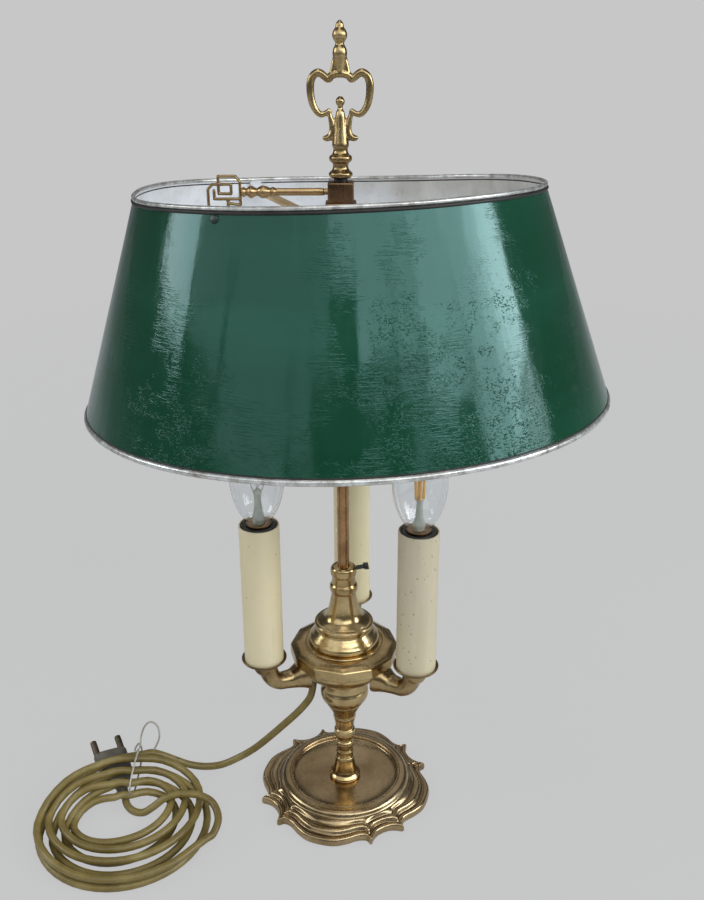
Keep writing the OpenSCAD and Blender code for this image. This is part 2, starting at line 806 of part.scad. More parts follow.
// A wire rolled round a rim: a ring whose outside stands just proud of the shade
module rim_wire(r, z, d) {
    color(pewter)
        leaned()
            rotate_extrude($fn = 96)
                translate([r - shade_t / 2, z])
                    circle(d = d, $fn = 24);
}

module shade_top_rim() {
    rim_wire(shade_top_r, shade_top_z + top_wire_d / 2, top_wire_d);
}

module shade_bottom_rim() {
    rim_wire(shade_bottom_r, shade_z - bottom_wire_d / 2, bottom_wire_d);
}

module key_shaft() {
    thread_r = key_d / 2 - 0.4;
    tip_x = rod_d / 2 + slide_fit;
    thread_end = carrier_w / 2 + 3;
    bead_r = key_bead_d / 2;
    color(brass)
        translate([0, 0, key_z])
            rotate([0, -90, 0])
                rotate_extrude()
                    polygon(concat(
                        [[0, tip_x], [thread_r, tip_x], [thread_r, thread_end],
                            [key_d / 2, thread_end + 0.4]],
                        [for (p = smooth([
                            [key_d / 2, key_bead_at - 8], [bead_r - 1.4, key_bead_at - 6.6],
                            [key_d / 2 + 0.1, key_bead_at - 5.2], [bead_r - 0.6, key_bead_at - 2.6],
                            [bead_r, key_bead_at - 0.6], [bead_r - 0.8, key_bead_at + 1.6],
                            [key_d / 2, key_bead_at + 3], [bead_r - 0.6, key_bead_at + 4.8],
                            [bead_r, key_bead_at + 6], [bead_r - 0.8, key_bead_at + 7.6],
                            [key_d / 2 - 0.2, key_bead_at + 9], [key_d / 2 + 0.6, key_bead_at + 10.4],
                            [key_d / 2 - 0.2, key_bead_at + 11.6]], 3)) p],
                        [[0, key_bead_at + 11.6]]));
}

key_bow_x = -key_bead_at - 11.6;

// One bar of the bow, from one corner to another, in shares of the bow's width and height
module bow_bar(a, b) {
    x = [for (p = [a, b]) key_bow_x - p[0] * key_bow_w];
    z = [for (p = [a, b]) key_z + (p[1] - 0.5) * key_bow_h];
    translate([min(x) - key_bar / 2, -key_bow_t / 2, min(z) - key_bar / 2])
        cube([max(x) - min(x) + key_bar, key_bow_t, max(z) - min(z) + key_bar]);
}

// Outline of the bow with its corners cut off, in shares of half its width and height
bow_half_w = key_bow_w / 2 + 1;
bow_half_h = key_bow_h / 2 + 1;
bow_cut = 0.78;
bow_corners = [
    [1, bow_cut], [bow_cut, 1], [-bow_cut, 1], [-1, bow_cut], [-1, -bow_cut], [-bow_cut, -1],
    [bow_cut, -1], [1, -bow_cut]
];

// A pierced fret of two interlocked square frames, its middle line inset by half a bar
module key_bow() {
    color(brass)
        intersection() {
            union() {
                for (bar = [
                    [[0.05, 0.3], [0.05, 0.8]], [[0.05, 0.95], [0.65, 0.95]],
                    [[0.05, 0.8], [0.05, 0.95]], [[0.65, 0.45], [0.65, 0.95]],
                    [[0.3, 0.45], [0.65, 0.45]], [[0.3, 0.45], [0.3, 0.7]],
                    [[0.3, 0.7], [0.95, 0.7]], [[0.95, 0.05], [0.95, 0.7]],
                    [[0.4, 0.05], [0.95, 0.05]], [[0.4, 0.05], [0.4, 0.3]],
                    [[0.05, 0.3], [0.75, 0.3]], [[0.75, 0.3], [0.75, 0.52]]])
                    bow_bar(bar[0], bar[1]);
            }
            translate([key_bow_x - key_bow_w / 2, 0, key_z])
                rotate([90, 0, 0])
                    linear_extrude(key_bow_t, center = true)
                        polygon([for (q = bow_corners) [q[0] * bow_half_w, q[1] * bow_half_h]]);
        }
}

// ---------- arms and candles ----------

arm_spigot_r = 4;
arm_offset = 3.2;         // the arm tube rises this far inside the candle's axis

module arm(i) {
    root_r = hub_bowl_r - 2;
    run = candle_reach - arm_offset;               // the tube rises this far out, under the pan's middle
    boss_z = pan_z - 8;
    color(brass)
        difference() {
            rotate(side_dirs[i] + arm_turn) {
                translate([hub_seat_r + 4, 0, arm_z])
                    rotate([0, 90, 0])
                        rotate_extrude()
                            polygon(concat(
                                [[0, 4], [arm_spigot_r, 4], [arm_spigot_r, root_r - hub_seat_r - 10],
                                    [arm_d, root_r - hub_seat_r - 10]],
                                [for (p = smooth([
                                    [arm_d, root_r - hub_seat_r - 4],
                                    [arm_d * 0.93, root_r - hub_seat_r - 2.6],
                                    [arm_d * 0.68, root_r - hub_seat_r + 0.6],
                                    [arm_d * 0.54, root_r - hub_seat_r + 4.6],
                                    [arm_d / 2, run - arm_bend_r - hub_seat_r - 4]], 4)) p],
                                [[0, run - arm_bend_r - hub_seat_r - 4]]));
                translate([run - arm_bend_r, 0, arm_z + arm_bend_r])
                    rotate([90, 0, 0])
                        rotate_extrude(angle = -90)
                            translate([arm_bend_r, 0])
                                circle(d = arm_d);
                translate([run, 0, arm_z + arm_bend_r])
                    cylinder(d = arm_d, h = boss_z + 2 - arm_z - arm_bend_r);
                translate([candle_reach, 0, boss_z])
                    cylinder(r1 = nipple_d / 2 + 2.4, r2 = nipple_d / 2 + 4, h = 3);
                translate([candle_reach, 0, boss_z + 3])
                    cylinder(r = nipple_d / 2 + 4, h = pan_z - boss_z - 3);
            }
            hub_envelope();
            rotate(side_dirs[i] + arm_turn) {
                translate([hub_seat_r, 0, arm_z])
                    rotate([0, 90, 0])
                        cylinder(d = arm_bore_d, h = run - hub_seat_r + arm_bore_d / 2);
                translate([run, 0, arm_z])
                    cylinder(d = arm_bore_d, h = boss_z + 3 - arm_z);
                translate([(run + candle_reach) / 2, 0, boss_z + 1])
                    cylinder(d = arm_bore_d + 4, h = 2.2);
                translate([candle_reach, 0, boss_z + 2.5])
                    cylinder(d = nipple_d, h = pan_z - boss_z);
            }
        }
}

// What the arms' roots are cut back to: the hub's outside, less the holes that their spigots fill
module hub_envelope() {
    difference() {
        union() {
            rotate_extrude()
                polygon(concat(
                    [[hub_seat_r - 6, hub_z - 4]],
                    [for (p = hub_side) [p[0] + fit, p[1] - fit]],
                    [[hub_bowl_r + fit, belt_z], [hub_seat_r - 6, belt_z]]));
            translate([0, 0, belt_z - fit])
                rotate(hub_turn)
                    cylinder(r = hub_belt_r + fit, h = hub_belt_h + 5, $fn = 12);
        }
        for (i = [0 : 2])
            rotate(side_dirs[i] + arm_turn)
                translate([0, 0, arm_z])
                    rotate([0, 90, 0])
                        cylinder(r = arm_spigot_r + fit / 2, h = hub_belt_r + 10);
    }
}

module pan(i) {
    color(brass)
        at_candle(i)
            rotate_extrude()
                polygon([
                    [nipple_d / 2 + fit, pan_z], [pan_r - 2.6, pan_z], [pan_r - 1.2, pan_z + 0.3],
                    [pan_r, pan_z + 1.4], [pan_r, pan_z + 2.3], [pan_r - 0.7, pan_z + 2.6],
                    [pan_r - 1.3, pan_z + 2], [pan_r - 1.9, pan_z + pan_t],
                    [nipple_d / 2 + fit, pan_z + pan_t]]);
}

module nipple(i) {
    color(steel)
        at_candle(i)
            tube(nipple_d / 2, nipple_d / 2 - 1.5, pan_z - 5.5, holder_z + 8 - pan_z + 5.5);
}

module holder(i) {
    color(dark_steel)
        at_candle(i)
            difference() {
                translate([0, 0, holder_z])
                    cylinder(d = holder_d, h = holder_h);
                translate([0, 0, holder_z - cut])
                    cylinder(d = nipple_d, h = 8 + cut);
                translate([0, 0, holder_z + 8 - cut])
                    cylinder(d = nipple_d - 3, h = 6 + cut);
                translate([0, 0, cap_z - 0.5])
                    cylinder(r = cap_d / 2 + fit, h = cap_depth + cut + 0.5);
            }
}

module sleeve(i) {
    color(cream)
        at_candle(i)
            tube(sleeve_d / 2, sleeve_d / 2 - sleeve_t, sleeve_z, sleeve_h);
}

module cap(i) {
    color(steel)
        at_candle(i)
            translate([0, 0, cap_z]) {
                translate([0, 0, 3])
                    cylinder(d = cap_d, h = cap_h - 3);
                cylinder(d1 = 4, d2 = cap_d, h = 3.01);
                translate([0, 0, cap_depth + 0.3])
                    cylinder(d1 = cap_d, d2 = cap_d + 3, h = cap_h - cap_depth - 0.3);
            }
}

// Outside of a bulb's glass, as [radius, height above the cap]
bulb_side = smooth([
    [cap_d / 2 + 1.6, 0], [cap_d / 2 + 2.4, 0.04 * bulb_h], [bulb_d * 0.36, 0.12 * bulb_h],
    [bulb_d * 0.45, 0.24 * bulb_h], [bulb_d * 0.494, 0.36 * bulb_h], [bulb_d / 2, 0.43 * bulb_h],
    [bulb_d * 0.48, 0.55 * bulb_h], [bulb_d * 0.38, 0.72 * bulb_h], [bulb_d * 0.23, 0.88 * bulb_h],
    [bulb_d * 0.1, 0.97 * bulb_h], [1.6, bulb_h]], 2);

module bulb(i) {
    color([0.85, 0.9, 0.92, 0.35])
        at_candle(i)
            translate([0, 0, glass_z])
                rotate_extrude()
                    polygon(concat(
                        [[cap_d / 2 - glass_t, 0]], bulb_side, [[0, bulb_h], [0, bulb_h - 1.5]],
                        [for (k = [len(bulb_side) - 2 : -1 : 1])
                            [bulb_side[k][0] - glass_t, bulb_side[k][1] - glass_t / 2]]));
}

module filament(i) {
    color("khaki")
        at_candle(i)
            translate([0, 0, glass_z])
                union() {
                    cylinder(r1 = 4, r2 = 2.2, h = 0.32 * bulb_h);
                    for (k = [0 : 3])
                        rotate(45 + 90 * k)
                            translate([2.2, 0, 0.3 * bulb_h])
                                cylinder(d = 1.4, h = 0.4 * bulb_h, $fn = 16);
                    translate([0, 0, 0.69 * bulb_h])
                        cylinder(r = 3, h = 1);
                }
}

module arm_leads() {
    lead_d = 1.6;
    color(dark_steel)
        for (i = [0 : 2])
            rotate(side_dirs[i] + arm_turn) {
                translate([hub_seat_r + 6, 0, arm_z])
                    rotate([0, 90, 0])
                        cylinder(d = lead_d, h = candle_reach - arm_offset - hub_seat_r - 6);
                translate([candle_reach - arm_offset, 0, arm_z - lead_d / 2])
                    cylinder(d = lead_d, h = pan_z - 6 - arm_z + lead_d / 2);
                translate([candle_reach - arm_offset, 0, pan_z - 6.2])
                    rotate([0, 90, 0])
                        cylinder(d = lead_d, h = 2.8);
                translate([candle_reach, 0, pan_z - 6.2 - lead_d / 2])
                    cylinder(d = lead_d, h = holder_z + 10 - pan_z + 6.2);
            }
}

// ---------- cord ----------

gland_at = [-22.5, 0];
gland_r = 4.5;
gland_z = hub_z - 4;

module cord_gland() {
    color(dark_steel)
        translate([gland_at[0], gland_at[1], 0])
            union() {
                tube(gland_r, cord_d / 2, gland_z, hub_wall + 8);
                tube(gland_r + 0.6, cord_d / 2, gland_z, 1.5);
            }
}

// The coil lies on the floor beside the lamp in two layers, and rises over the plug
coil_at = [-156, -38];
coil_start = 88;                 // direction from the coil's middle to where the cord comes in
coil_turns = 3.086;              // turns of the lower layer, before it reverses and climbs
coil_layer = 6.8;                // from the lower layer's middle to the upper one's
coil_wide = 0.2;                 // how much wider the turns lie on the loose side
coil_wide_way = 315;             // direction of that side
coil_low = cord_d / 2;
plug_way = 110;                  // direction from the coil's middle to the plug
dent = 25.5;                     // how far the turns are drawn in where they cross the plug
flare = 3.2;                     // how far outside the first turn begins
rings_per_turn = 24;

// 1 over the plug, falling to 0 a quarter turn from it
function rise(way) =
    let (off = abs((way - plug_way + 180) % 360 - 180))
    off < 20 ? 1 : off > 90 ? 0 : (1 + cos((off - 20) / 70 * 180)) / 2;

// Turns in from the outside, after s turns of cord
function turns_in(s) =
    s < coil_turns ? s
    : s < coil_turns + 0.5 ? s - 2 * (s - coil_turns) * (s - coil_turns)
    : 2 * coil_turns + 0.5 - s;

// 0 on the lower layer, 1 on the upper one
function climbed(s) =
    let (t = min(max((s - coil_turns) / 0.5, 0), 1)) (1 - cos(180 * t)) / 2;

function coil_point(s) =
    let (way = (coil_start + 360 * s) % 360,
        up = rise(way),
        turn_r = coil_r - dent * up
            - coil_pitch * turns_in(s) * (1 + coil_wide * cos(way - coil_wide_way)),
        r = turn_r + flare * pow(max(0, 1 - 5 * s), 2),
        over_plug = max(15.8 + (turn_r - 23.5) * 0.542, 0))
    [coil_at[0] + r * cos(way), coil_at[1] + r * sin(way),
        coil_low + coil_layer * climbed(s) + up * over_plug];

coil_steps = round((2 * coil_turns + 0.5) * rings_per_turn);
coil_rings = [for (i = [0 : coil_steps]) coil_point(i / rings_per_turn)];
coil_in_way = unit(coil_rings[0] - coil_rings[1]);
coil_out_way = unit(coil_rings[coil_steps] - coil_rings[coil_steps - 1]);
coil_in = coil_rings[0] + cord_d * coil_in_way;
coil_out = coil_rings[coil_steps] + cord_d * coil_out_way;
coil_path = concat([coil_in], coil_rings, [coil_out]);

function pick(v, i, j) = norm(v[i] - v[j]);

// Least distance between the middles of different turns, less the cord's diameter
coil_gap = min([
    for (i = [0 : len(coil_path) - 1])
        for (j = [i + 8 : 1 : len(coil_path) - 1])
            pick(coil_path, i, j)
]) - cord_d;
echo(coil_gap = coil_gap);

module cord_coil() {
    color(cord_colour)
        sweep(coil_path, [for (p = coil_path) cord_d / 2], 6, [0, 0, 1]);
}

// The plug: its middle line from the cord's end to its face, leaning up and away
plug_foot = [-162.4, -15.4, 7.5];
plug_dir = [-0.435, 0.768, 0.4695];
plug_roll = 10;

module along_plug() {
    translate(plug_foot)
        rotate([0, acos(plug_dir[2] / norm(plug_dir)), atan2(plug_dir[1], plug_dir[0])])
            rotate(90 + plug_roll)
                children();
}

module plug() {
    neck = 9;
    color(dark_steel)
        along_plug()
            difference() {
                union() {
                    cylinder(d1 = cord_d + 2.5, d2 = plug_t, h = neck);
                    translate([(plug_t - plug_w) / 2, -plug_t / 2, neck])
                        cube([plug_w - plug_t, plug_t, plug_l - neck]);
                    for (side = [-1, 1])
                        translate([side * (plug_w - plug_t) / 2, 0, neck])
                            cylinder(d = plug_t, h = plug_l - neck);
                }
                translate([0, 0, -cut])
                    cylinder(d = cord_d, h = neck - 3 + cut);
                for (side = [-1, 1])
                    translate([side * pin_gap / 2, 0, plug_l - pin_root])
                        cylinder(d = pin_d, h = pin_root + cut);
            }
}

pin_root = 8;

module plug_pins() {
    color(steel)
        along_plug()
            for (side = [-1, 1])
                translate([side * pin_gap / 2, 0, plug_l - pin_root]) {
                    cylinder(d = pin_d, h = pin_l + pin_root - 1);
                    translate([0, 0, pin_l + pin_root - 1])
                        cylinder(d1 = pin_d, d2 = pin_d - 1.6, h = 1);
                }
}

// The free stretch, from the gland down to the floor and up into the coil
cord_route = [
    [gland_at[0], gland_at[1], gland_z], [gland_at[0], gland_at[1], gland_z - 7],
    [-25, 0.3, 79], [-33, 1.5, 67], [-44, 3.5, 54], [-56, 6.5, 40], [-68, 9.5, 27], [-81, 13, 17],
    [-94, 16, 8.5], [-107, 17, 4.4], [-117.5, 15.5, 8.5], [-127, 11, 16.5],
    coil_in + 12 * coil_in_way, coil_in + 6 * coil_in_way, coil_in
];

module cord_free() {
    path = smooth(cord_route, 3);
    color(cord_colour)
        sweep(path, [for (p = path) cord_d / 2], 10, [0, 1, 0]);
}

// The last stretch crosses over the loose side and turns back under the turns into the plug
tail_route = [
    coil_out, coil_out + 6 * coil_out_way, coil_out + 12 * coil_out_way, [-88.5, -48, 13],
    [-93.5, -37, 16.6], [-104, -29.5, 17.2], [-117, -27.5, 16.8], [-128.5, -28.5, 14.4],
    [-137, -30.5, 8.6], [-144.5, -32, 4.2], [-152, -30, 3.4], [-158, -24.4, 3.9],
    plug_foot - 3 * plug_dir, plug_foot + 3 * plug_dir
];

module cord_tail() {
    path = smooth(tail_route, 3);
    color(cord_colour)
        sweep(path, [for (p = path) cord_d / 2], 10, [0, 0, 1]);
}

// The wire tie: one turn round the bunch of turns, then a standing loop
tie_way = 84;
tie_wire = 1;
bunch_r = 28.2;                  // middle of the bunch, from the coil's middle
bunch_z = 24;
bunch_lean = 28;                 // slope of the bunch, up towards its outside
bunch_half = 18.6;
bunch_thick = 10;

// A point beside the bunch: a turns round it, out from the coil, up, and along the cord
function beside(out, up, along) =
    let (r = bunch_r + out)
    [coil_at[0] + r * cos(tie_way) - along * sin(tie_way),
        coil_at[1] + r * sin(tie_way) + along * cos(tie_way), bunch_z + up];

function squared(c) = sign(c) * pow(abs(c), 0.75);

tie_turn = [
    for (a = [60 : 15 : 420])
        let (u = bunch_half * squared(cos(a)), v = bunch_thick * squared(sin(a)))
            beside(u * cos(bunch_lean) - v * sin(bunch_lean),
                u * sin(bunch_lean) + v * cos(bunch_lean), (a - 240) / 130)
];
tie_loop = smooth([
    beside(4, 13, 0), beside(5, 17, -3), beside(8, 24, -3.5), beside(11, 31, -6),
    beside(12, 34, -10.5), beside(11, 31, -15.5), beside(8.5, 24, -17), beside(6.5, 18, -15),
    beside(5.5, 14.5, -13)], 3);

module coil_tie() {
    path = concat(tie_turn, tie_loop);
    color("silver")
        sweep(path, [for (p = path) tie_wire / 2], 6, [0.1, 0.2, 1]);
}

base_foot();
base_felt();
base_nut();
tie_rod();
stem_foot();
stem_beads();
stem_cup();
hub_bowl();
hub_cover();
terminal_block();
column_base();
column();
collar_screw();
rod();
finial();
finial_top();
finial_loops();
finial_leaves();
carrier();
ring_nut();
spider_hub();
spider();
shade_rivets();
shade();
shade_top_rim();
shade_bottom_rim();
key_shaft();
key_bow();
arm(0);  // arm_left
arm(1);  // arm_right
arm(2);  // arm_back
pan(0);  // pan_left
pan(1);  // pan_right
pan(2);  // pan_back
nipple(0);  // nipple_left
nipple(1);  // nipple_right
nipple(2);  // nipple_back
holder(0);  // holder_left
holder(1);  // holder_right
holder(2);  // holder_back
sleeve(0);  // sleeve_left
sleeve(1);  // sleeve_right
sleeve(2);  // sleeve_back
cap(0);  // cap_left
cap(1);  // cap_right
cap(2);  // cap_back
bulb(0);  // bulb_left
bulb(1);  // bulb_right
bulb(2);  // bulb_back
filament(0);  // filament_left
filament(1);  // filament_right
filament(2);  // filament_back
arm_leads();
cord_gland();
cord_free();
cord_coil();
cord_tail();
coil_tie();
plug();
plug_pins();
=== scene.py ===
"""Looks of the three-light table lamp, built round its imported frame.

Lengths are written in millimetres and turned into metres where a mesh or curve is made.
"""

import math

import bmesh
import bpy
from mathutils import Matrix, Vector, noise


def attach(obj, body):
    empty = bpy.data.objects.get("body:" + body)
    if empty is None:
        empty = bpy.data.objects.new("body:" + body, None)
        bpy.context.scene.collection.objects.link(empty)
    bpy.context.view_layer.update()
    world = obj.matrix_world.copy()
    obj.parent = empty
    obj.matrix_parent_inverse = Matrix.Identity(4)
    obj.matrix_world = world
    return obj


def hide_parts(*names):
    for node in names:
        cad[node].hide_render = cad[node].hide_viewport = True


MM = 0.001
TAU = 2 * math.pi

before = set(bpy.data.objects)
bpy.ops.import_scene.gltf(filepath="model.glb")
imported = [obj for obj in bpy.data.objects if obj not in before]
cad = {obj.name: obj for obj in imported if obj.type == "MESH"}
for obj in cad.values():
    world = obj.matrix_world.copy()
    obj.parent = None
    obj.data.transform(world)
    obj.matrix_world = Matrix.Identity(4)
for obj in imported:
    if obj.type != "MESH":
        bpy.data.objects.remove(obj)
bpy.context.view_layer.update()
scene = bpy.context.scene
scene.view_settings.view_transform = "Standard"


# Curves and meshes


def rad(degrees):
    return math.radians(degrees)


def mix(a, b, t):
    return a + (b - a) * t


def smooth(points, steps):
    """The Catmull-Rom curve through the points; a point given twice makes a corner."""
    out = []
    last = len(points) - 1
    for i in range(last):
        a = points[max(i - 1, 0)]
        b = points[i]
        c = points[i + 1]
        d = points[min(i + 2, last)]
        if all(abs(p - q) < 1e-9 for p, q in zip(b, c)):
            continue
        for s in range(steps):
            t = s / steps
            out.append([
                0.5 * (2 * q + (r - p) * t + (2 * p - 5 * q + 4 * r - u) * t * t
                       + (3 * q - p - 3 * r + u) * t ** 3)
                for p, q, r, u in zip(a, b, c, d)])
    out.append(list(points[-1]))
    return out


def smoothstep(low, high, x):
    t = min(max((x - low) / (high - low), 0), 1)
    return t * t * (3 - 2 * t)


def grid(rings, cap_first=False, cap_last=False):
    """Vertices and faces of closed rings joined one to the next."""
    count = len(rings[0])
    verts = [Vector(p) for ring in rings for p in ring]
    faces = []
    for i in range(len(rings) - 1):
        for k in range(count):
            a = i * count + k
            b = i * count + (k + 1) % count
            faces.append((a, b, b + count, a + count))
    if cap_first:
        faces.append(tuple(range(count - 1, -1, -1)))
    if cap_last:
        start = (len(rings) - 1) * count
        faces.append(tuple(range(start, start + count)))
    return verts, faces


def join(*parts):
    verts = []
    faces = []
    for part_verts, part_faces in parts:
        offset = len(verts)
        verts.extend(part_verts)
        faces.extend(tuple(i + offset for i in face) for face in part_faces)
    return verts, faces


def add(name, data):
    """A new object of the scene."""
    obj = bpy.data.objects.new(name, data)
    scene.collection.objects.link(obj)
    return obj


def piece(name, data, material, body="stand", replaces=(), sharp=38):
    """A mesh object from vertices in millimetres, finished and riding its body."""
    verts, faces = data
    mesh = bpy.data.meshes.new(name)
    mesh.from_pydata([tuple(v * MM for v in vert) for vert in verts], [], faces)
    clean = bmesh.new()
    clean.from_mesh(mesh)
    bmesh.ops.remove_doubles(clean, verts=clean.verts, dist=1e-6)
    bmesh.ops.recalc_face_normals(clean, faces=clean.faces)
    clean.to_mesh(mesh)
    clean.free()
    mesh.polygons.foreach_set("use_smooth", [True] * len(mesh.polygons))
    mesh.set_sharp_from_angle(angle=rad(sharp))
    mesh.materials.append(material)
    return settle(add(name, mesh), body, replaces)


def settle(obj, body="stand", replaces=()):
    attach(obj, body)
    if replaces:
        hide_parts(*replaces)
    return obj


def polar(r, a, z):
    return (r * math.cos(a), r * math.sin(a), z)


def circle(r, z, count):
    """Points of a level ring round the Z axis."""
    return [polar(r, TAU * k / count, z) for k in range(count)]


def turned(profile, z=0, h=1, steps=6, segments=96):
    """A surface turned about the Z axis; profile is [radius, share of the height]."""
    outline = smooth([(p[0], z + p[1] * h) for p in profile], steps)
    rings = [circle(r, height, segments) for r, height in outline]
    return grid(rings, cap_first=outline[0][0] > 0.01, cap_last=outline[-1][0] > 0.01)


def shell(outer, inner, segments=96):
    """A turned ring or cup whose section is the closed outline outer + inner."""
    rings = [circle(r, z, segments) for r, z in outer + inner[::-1]]
    return grid(rings + rings[:1])


def moved(data, matrix):
    verts, faces = data
    return [matrix @ v for v in verts], faces


def sweep(path, radii, sides=16, side=(0, 0, 1), flat=1):
    """A closed tube along a path, square to it; flat narrows or widens it along side."""
    pts = [Vector(p) for p in path]
    side = Vector(side)
    rings = []
    for i, p in enumerate(pts):
        way = (pts[min(i + 1, len(pts) - 1)] - pts[max(i - 1, 0)]).normalized()
        n = (side - side.dot(way) * way).normalized()
        m = way.cross(n)
        rings.append([
            p + radii[i] * (flat * math.cos(TAU * k / sides) * n + math.sin(TAU * k / sides) * m)
            for k in range(sides)])
    return grid(rings, cap_first=True, cap_last=True)


def block(half, low, high):
    """A square block about the Z axis."""
    corners = ((-half, -half), (half, -half), (half, half), (-half, half))
    return grid([[(x, y, z) for x, y in corners] for z in (low, high)], True, True)


def apply_modifiers(obj):
    graph = bpy.context.evaluated_depsgraph_get()
    made = bpy.data.meshes.new_from_object(obj.evaluated_get(graph))
    old = obj.data
    obj.modifiers.clear()
    obj.data = made
    bpy.data.meshes.remove(old)
    obj.data.polygons.foreach_set("use_smooth", [True] * len(obj.data.polygons))


def fuse(obj, voxel, rounds):
    """Melts overlapping shapes into one cast body."""
    remesh = obj.modifiers.new("melt", "REMESH")
    remesh.mode = "VOXEL"
    remesh.voxel_size = voxel * MM
    soften = obj.modifiers.new("soften", "SMOOTH")
    soften.factor = 0.5
    soften.iterations = rounds
    apply_modifiers(obj)


def bevel(obj, width):
    edge = obj.modifiers.new("edge", "BEVEL")
    edge.width = width * MM
    edge.segments = 3
    edge.limit_method = "ANGLE"
    apply_modifiers(obj)
    obj.data.set_sharp_from_angle(angle=rad(40))


# Camera

CAMERA_AT = (0.00604, -0.594, 0.5064)
CAMERA_DOWN = 21.6
CAMERA_ROLL = -0.2
LENS = 39.35

camera_data = bpy.data.cameras.new("camera")
camera_data.lens = LENS
camera_data.sensor_width = 36
camera_data.sensor_fit = "AUTO"
camera_data.clip_start = 0.01
camera = add("camera", camera_data)
camera.matrix_world = (
    Matrix.Translation(CAMERA_AT)
    @ Matrix.Rotation(rad(90 - CAMERA_DOWN), 4, "X")
    @ Matrix.Rotation(rad(CAMERA_ROLL), 4, "Z")
)
scene.camera = camera


# Materials


def new_material(name, constants=()):
    """A material, its tree and its shader, with the sockets that stay constant set."""
    material = bpy.data.materials.new(name)
    material.use_nodes = True
    tree = material.node_tree
    shader = tree.nodes["Principled BSDF"]
    for socket, value in constants:
        shader.inputs[socket].default_value = value
    return material, tree, shader


def put(tree, kind, inputs=None, **settings):
    made = tree.nodes.new("ShaderNode" + kind)
    for key, value in settings.items():
        setattr(made, key, value)
    for key, value in (inputs or {}).items():
        if isinstance(value, bpy.types.NodeSocket):
            tree.links.new(value, made.inputs[key])
        else:
            made.inputs[key].default_value = value
    return made


def math_node(tree, operation, a, b):
    return put(tree, "Math", {0: a, 1: b}, operation=operation).outputs[0]


def position(tree, stretch=(1, 1, 1)):
    """Object position in metres, stretched along its axes."""
    place = put(tree, "TexCoord").outputs["Object"]
    if stretch == (1, 1, 1):
        return place
    return put(tree, "Mapping", {"Vector": place, "Scale": stretch}).outputs[0]


def cloud(tree, scale, detail=4, rough=0.55, vector=None, distort=0):
    inputs = {"Scale": scale, "Detail": detail, "Roughness": rough, "Distortion": distort}
    inputs["Vector"] = vector or position(tree)
    return put(tree, "TexNoise", inputs).outputs[0]


def spots(tree, scale, vector=None):
    inputs = {"Scale": scale, "Vector": vector or position(tree)}
    return put(tree, "TexVoronoi", inputs).outputs["Distance"]


def ramp(tree, value, *stops):
    """A colour ramp; each stop is (place, colour or grey)."""
    made = put(tree, "ValToRGB", {"Fac": value})
    elements = made.color_ramp.elements
    while len(elements) < len(stops):
        elements.new(0.5)
    for element, (place, colour) in zip(elements, stops):
        element.position = place
        grey = isinstance(colour, (int, float))
        element.color = (colour, colour, colour, 1) if grey else (*colour, 1)
    return made.outputs[0]


def blend(tree, factor, a, b):
    made = put(tree, "Mix", data_type="RGBA")
    for socket, value in ((made.inputs[0], factor), (made.inputs[6], a), (made.inputs[7], b)):
        if isinstance(value, bpy.types.NodeSocket):
            tree.links.new(value, socket)
        else:
            socket.default_value = value if isinstance(value, (int, float)) else (*value, 1)
    return made.outputs[2]


def bump(tree, height, strength, distance_mm, normal=None):
    inputs = {"Height": height, "Strength": strength, "Distance": distance_mm * MM}
    if normal is not None:
        inputs["Normal"] = normal
    return put(tree, "Bump", inputs).outputs[0]


def crease_tarnish_and_shade_mask(tree):
    """1 in the creases of a shape, 0 on its open faces: where tarnish and painted shade go."""
    tarnish_and_shade_crease = put(tree, "NewGeometry").outputs["Pointiness"]
    return ramp(tree, tarnish_and_shade_crease, (0.44, 1), (0.5, 0))


def patchy(tree, scale, detail, rough, *stops, vector=None):
    """A cloud passed through a ramp."""
    return ramp(tree, cloud(tree, scale, detail, rough, vector), *stops)


def times(tree, a, b):
    return math_node(tree, "MULTIPLY", a, b)


def plus(tree, a, b):
    return math_node(tree, "ADD", a, b)


def finish(tree, shader, tone, gloss, normal):
    """Links the three inputs that vary over every surface here."""
    for value, socket in ((tone, "Base Color"), (gloss, "Roughness"), (normal, "Normal")):
        tree.links.new(value, shader.inputs[socket])


def brass_material(name, dark, light, rough, tarnish_and_shade_crease, grain=(1, 1, 1)):
    """Old polished brass: cloudy tone, tarnish and painted shade in the creases, fine hairlines."""
    material, tree, shader = new_material(name, (("Metallic", 1),))
    tone = patchy(tree, 38, 5, 0.6, (0.34, dark), (0.66, light))
    stain = patchy(tree, 160, 6, 0.7, (0.52, 0), (0.74, 0.45))
    tone = blend(tree, stain, tone, tuple(c * 0.55 for c in dark))
    # creases darkened for real tarnish and for painted shade standing in for occlusion
    tone = blend(tree, crease_tarnish_and_shade_mask(tree), tone, tarnish_and_shade_crease)
    gloss = patchy(tree, 70, 6, 0.65, (0.35, rough), (0.7, rough + 0.14))
    hair = cloud(tree, 900, 3, 0.6, position(tree, grain))
    dings = ramp(tree, spots(tree, 140), (0, 0), (0.09, 1))
    normal = bump(tree, hair, 0.06, 0.2)
    normal = bump(tree, dings, 0.05, 0.12, normal)
    normal = bump(tree, cloud(tree, 22, 2), 0.12, 1.2, normal)
    finish(tree, shader, tone, gloss, normal)
    return material


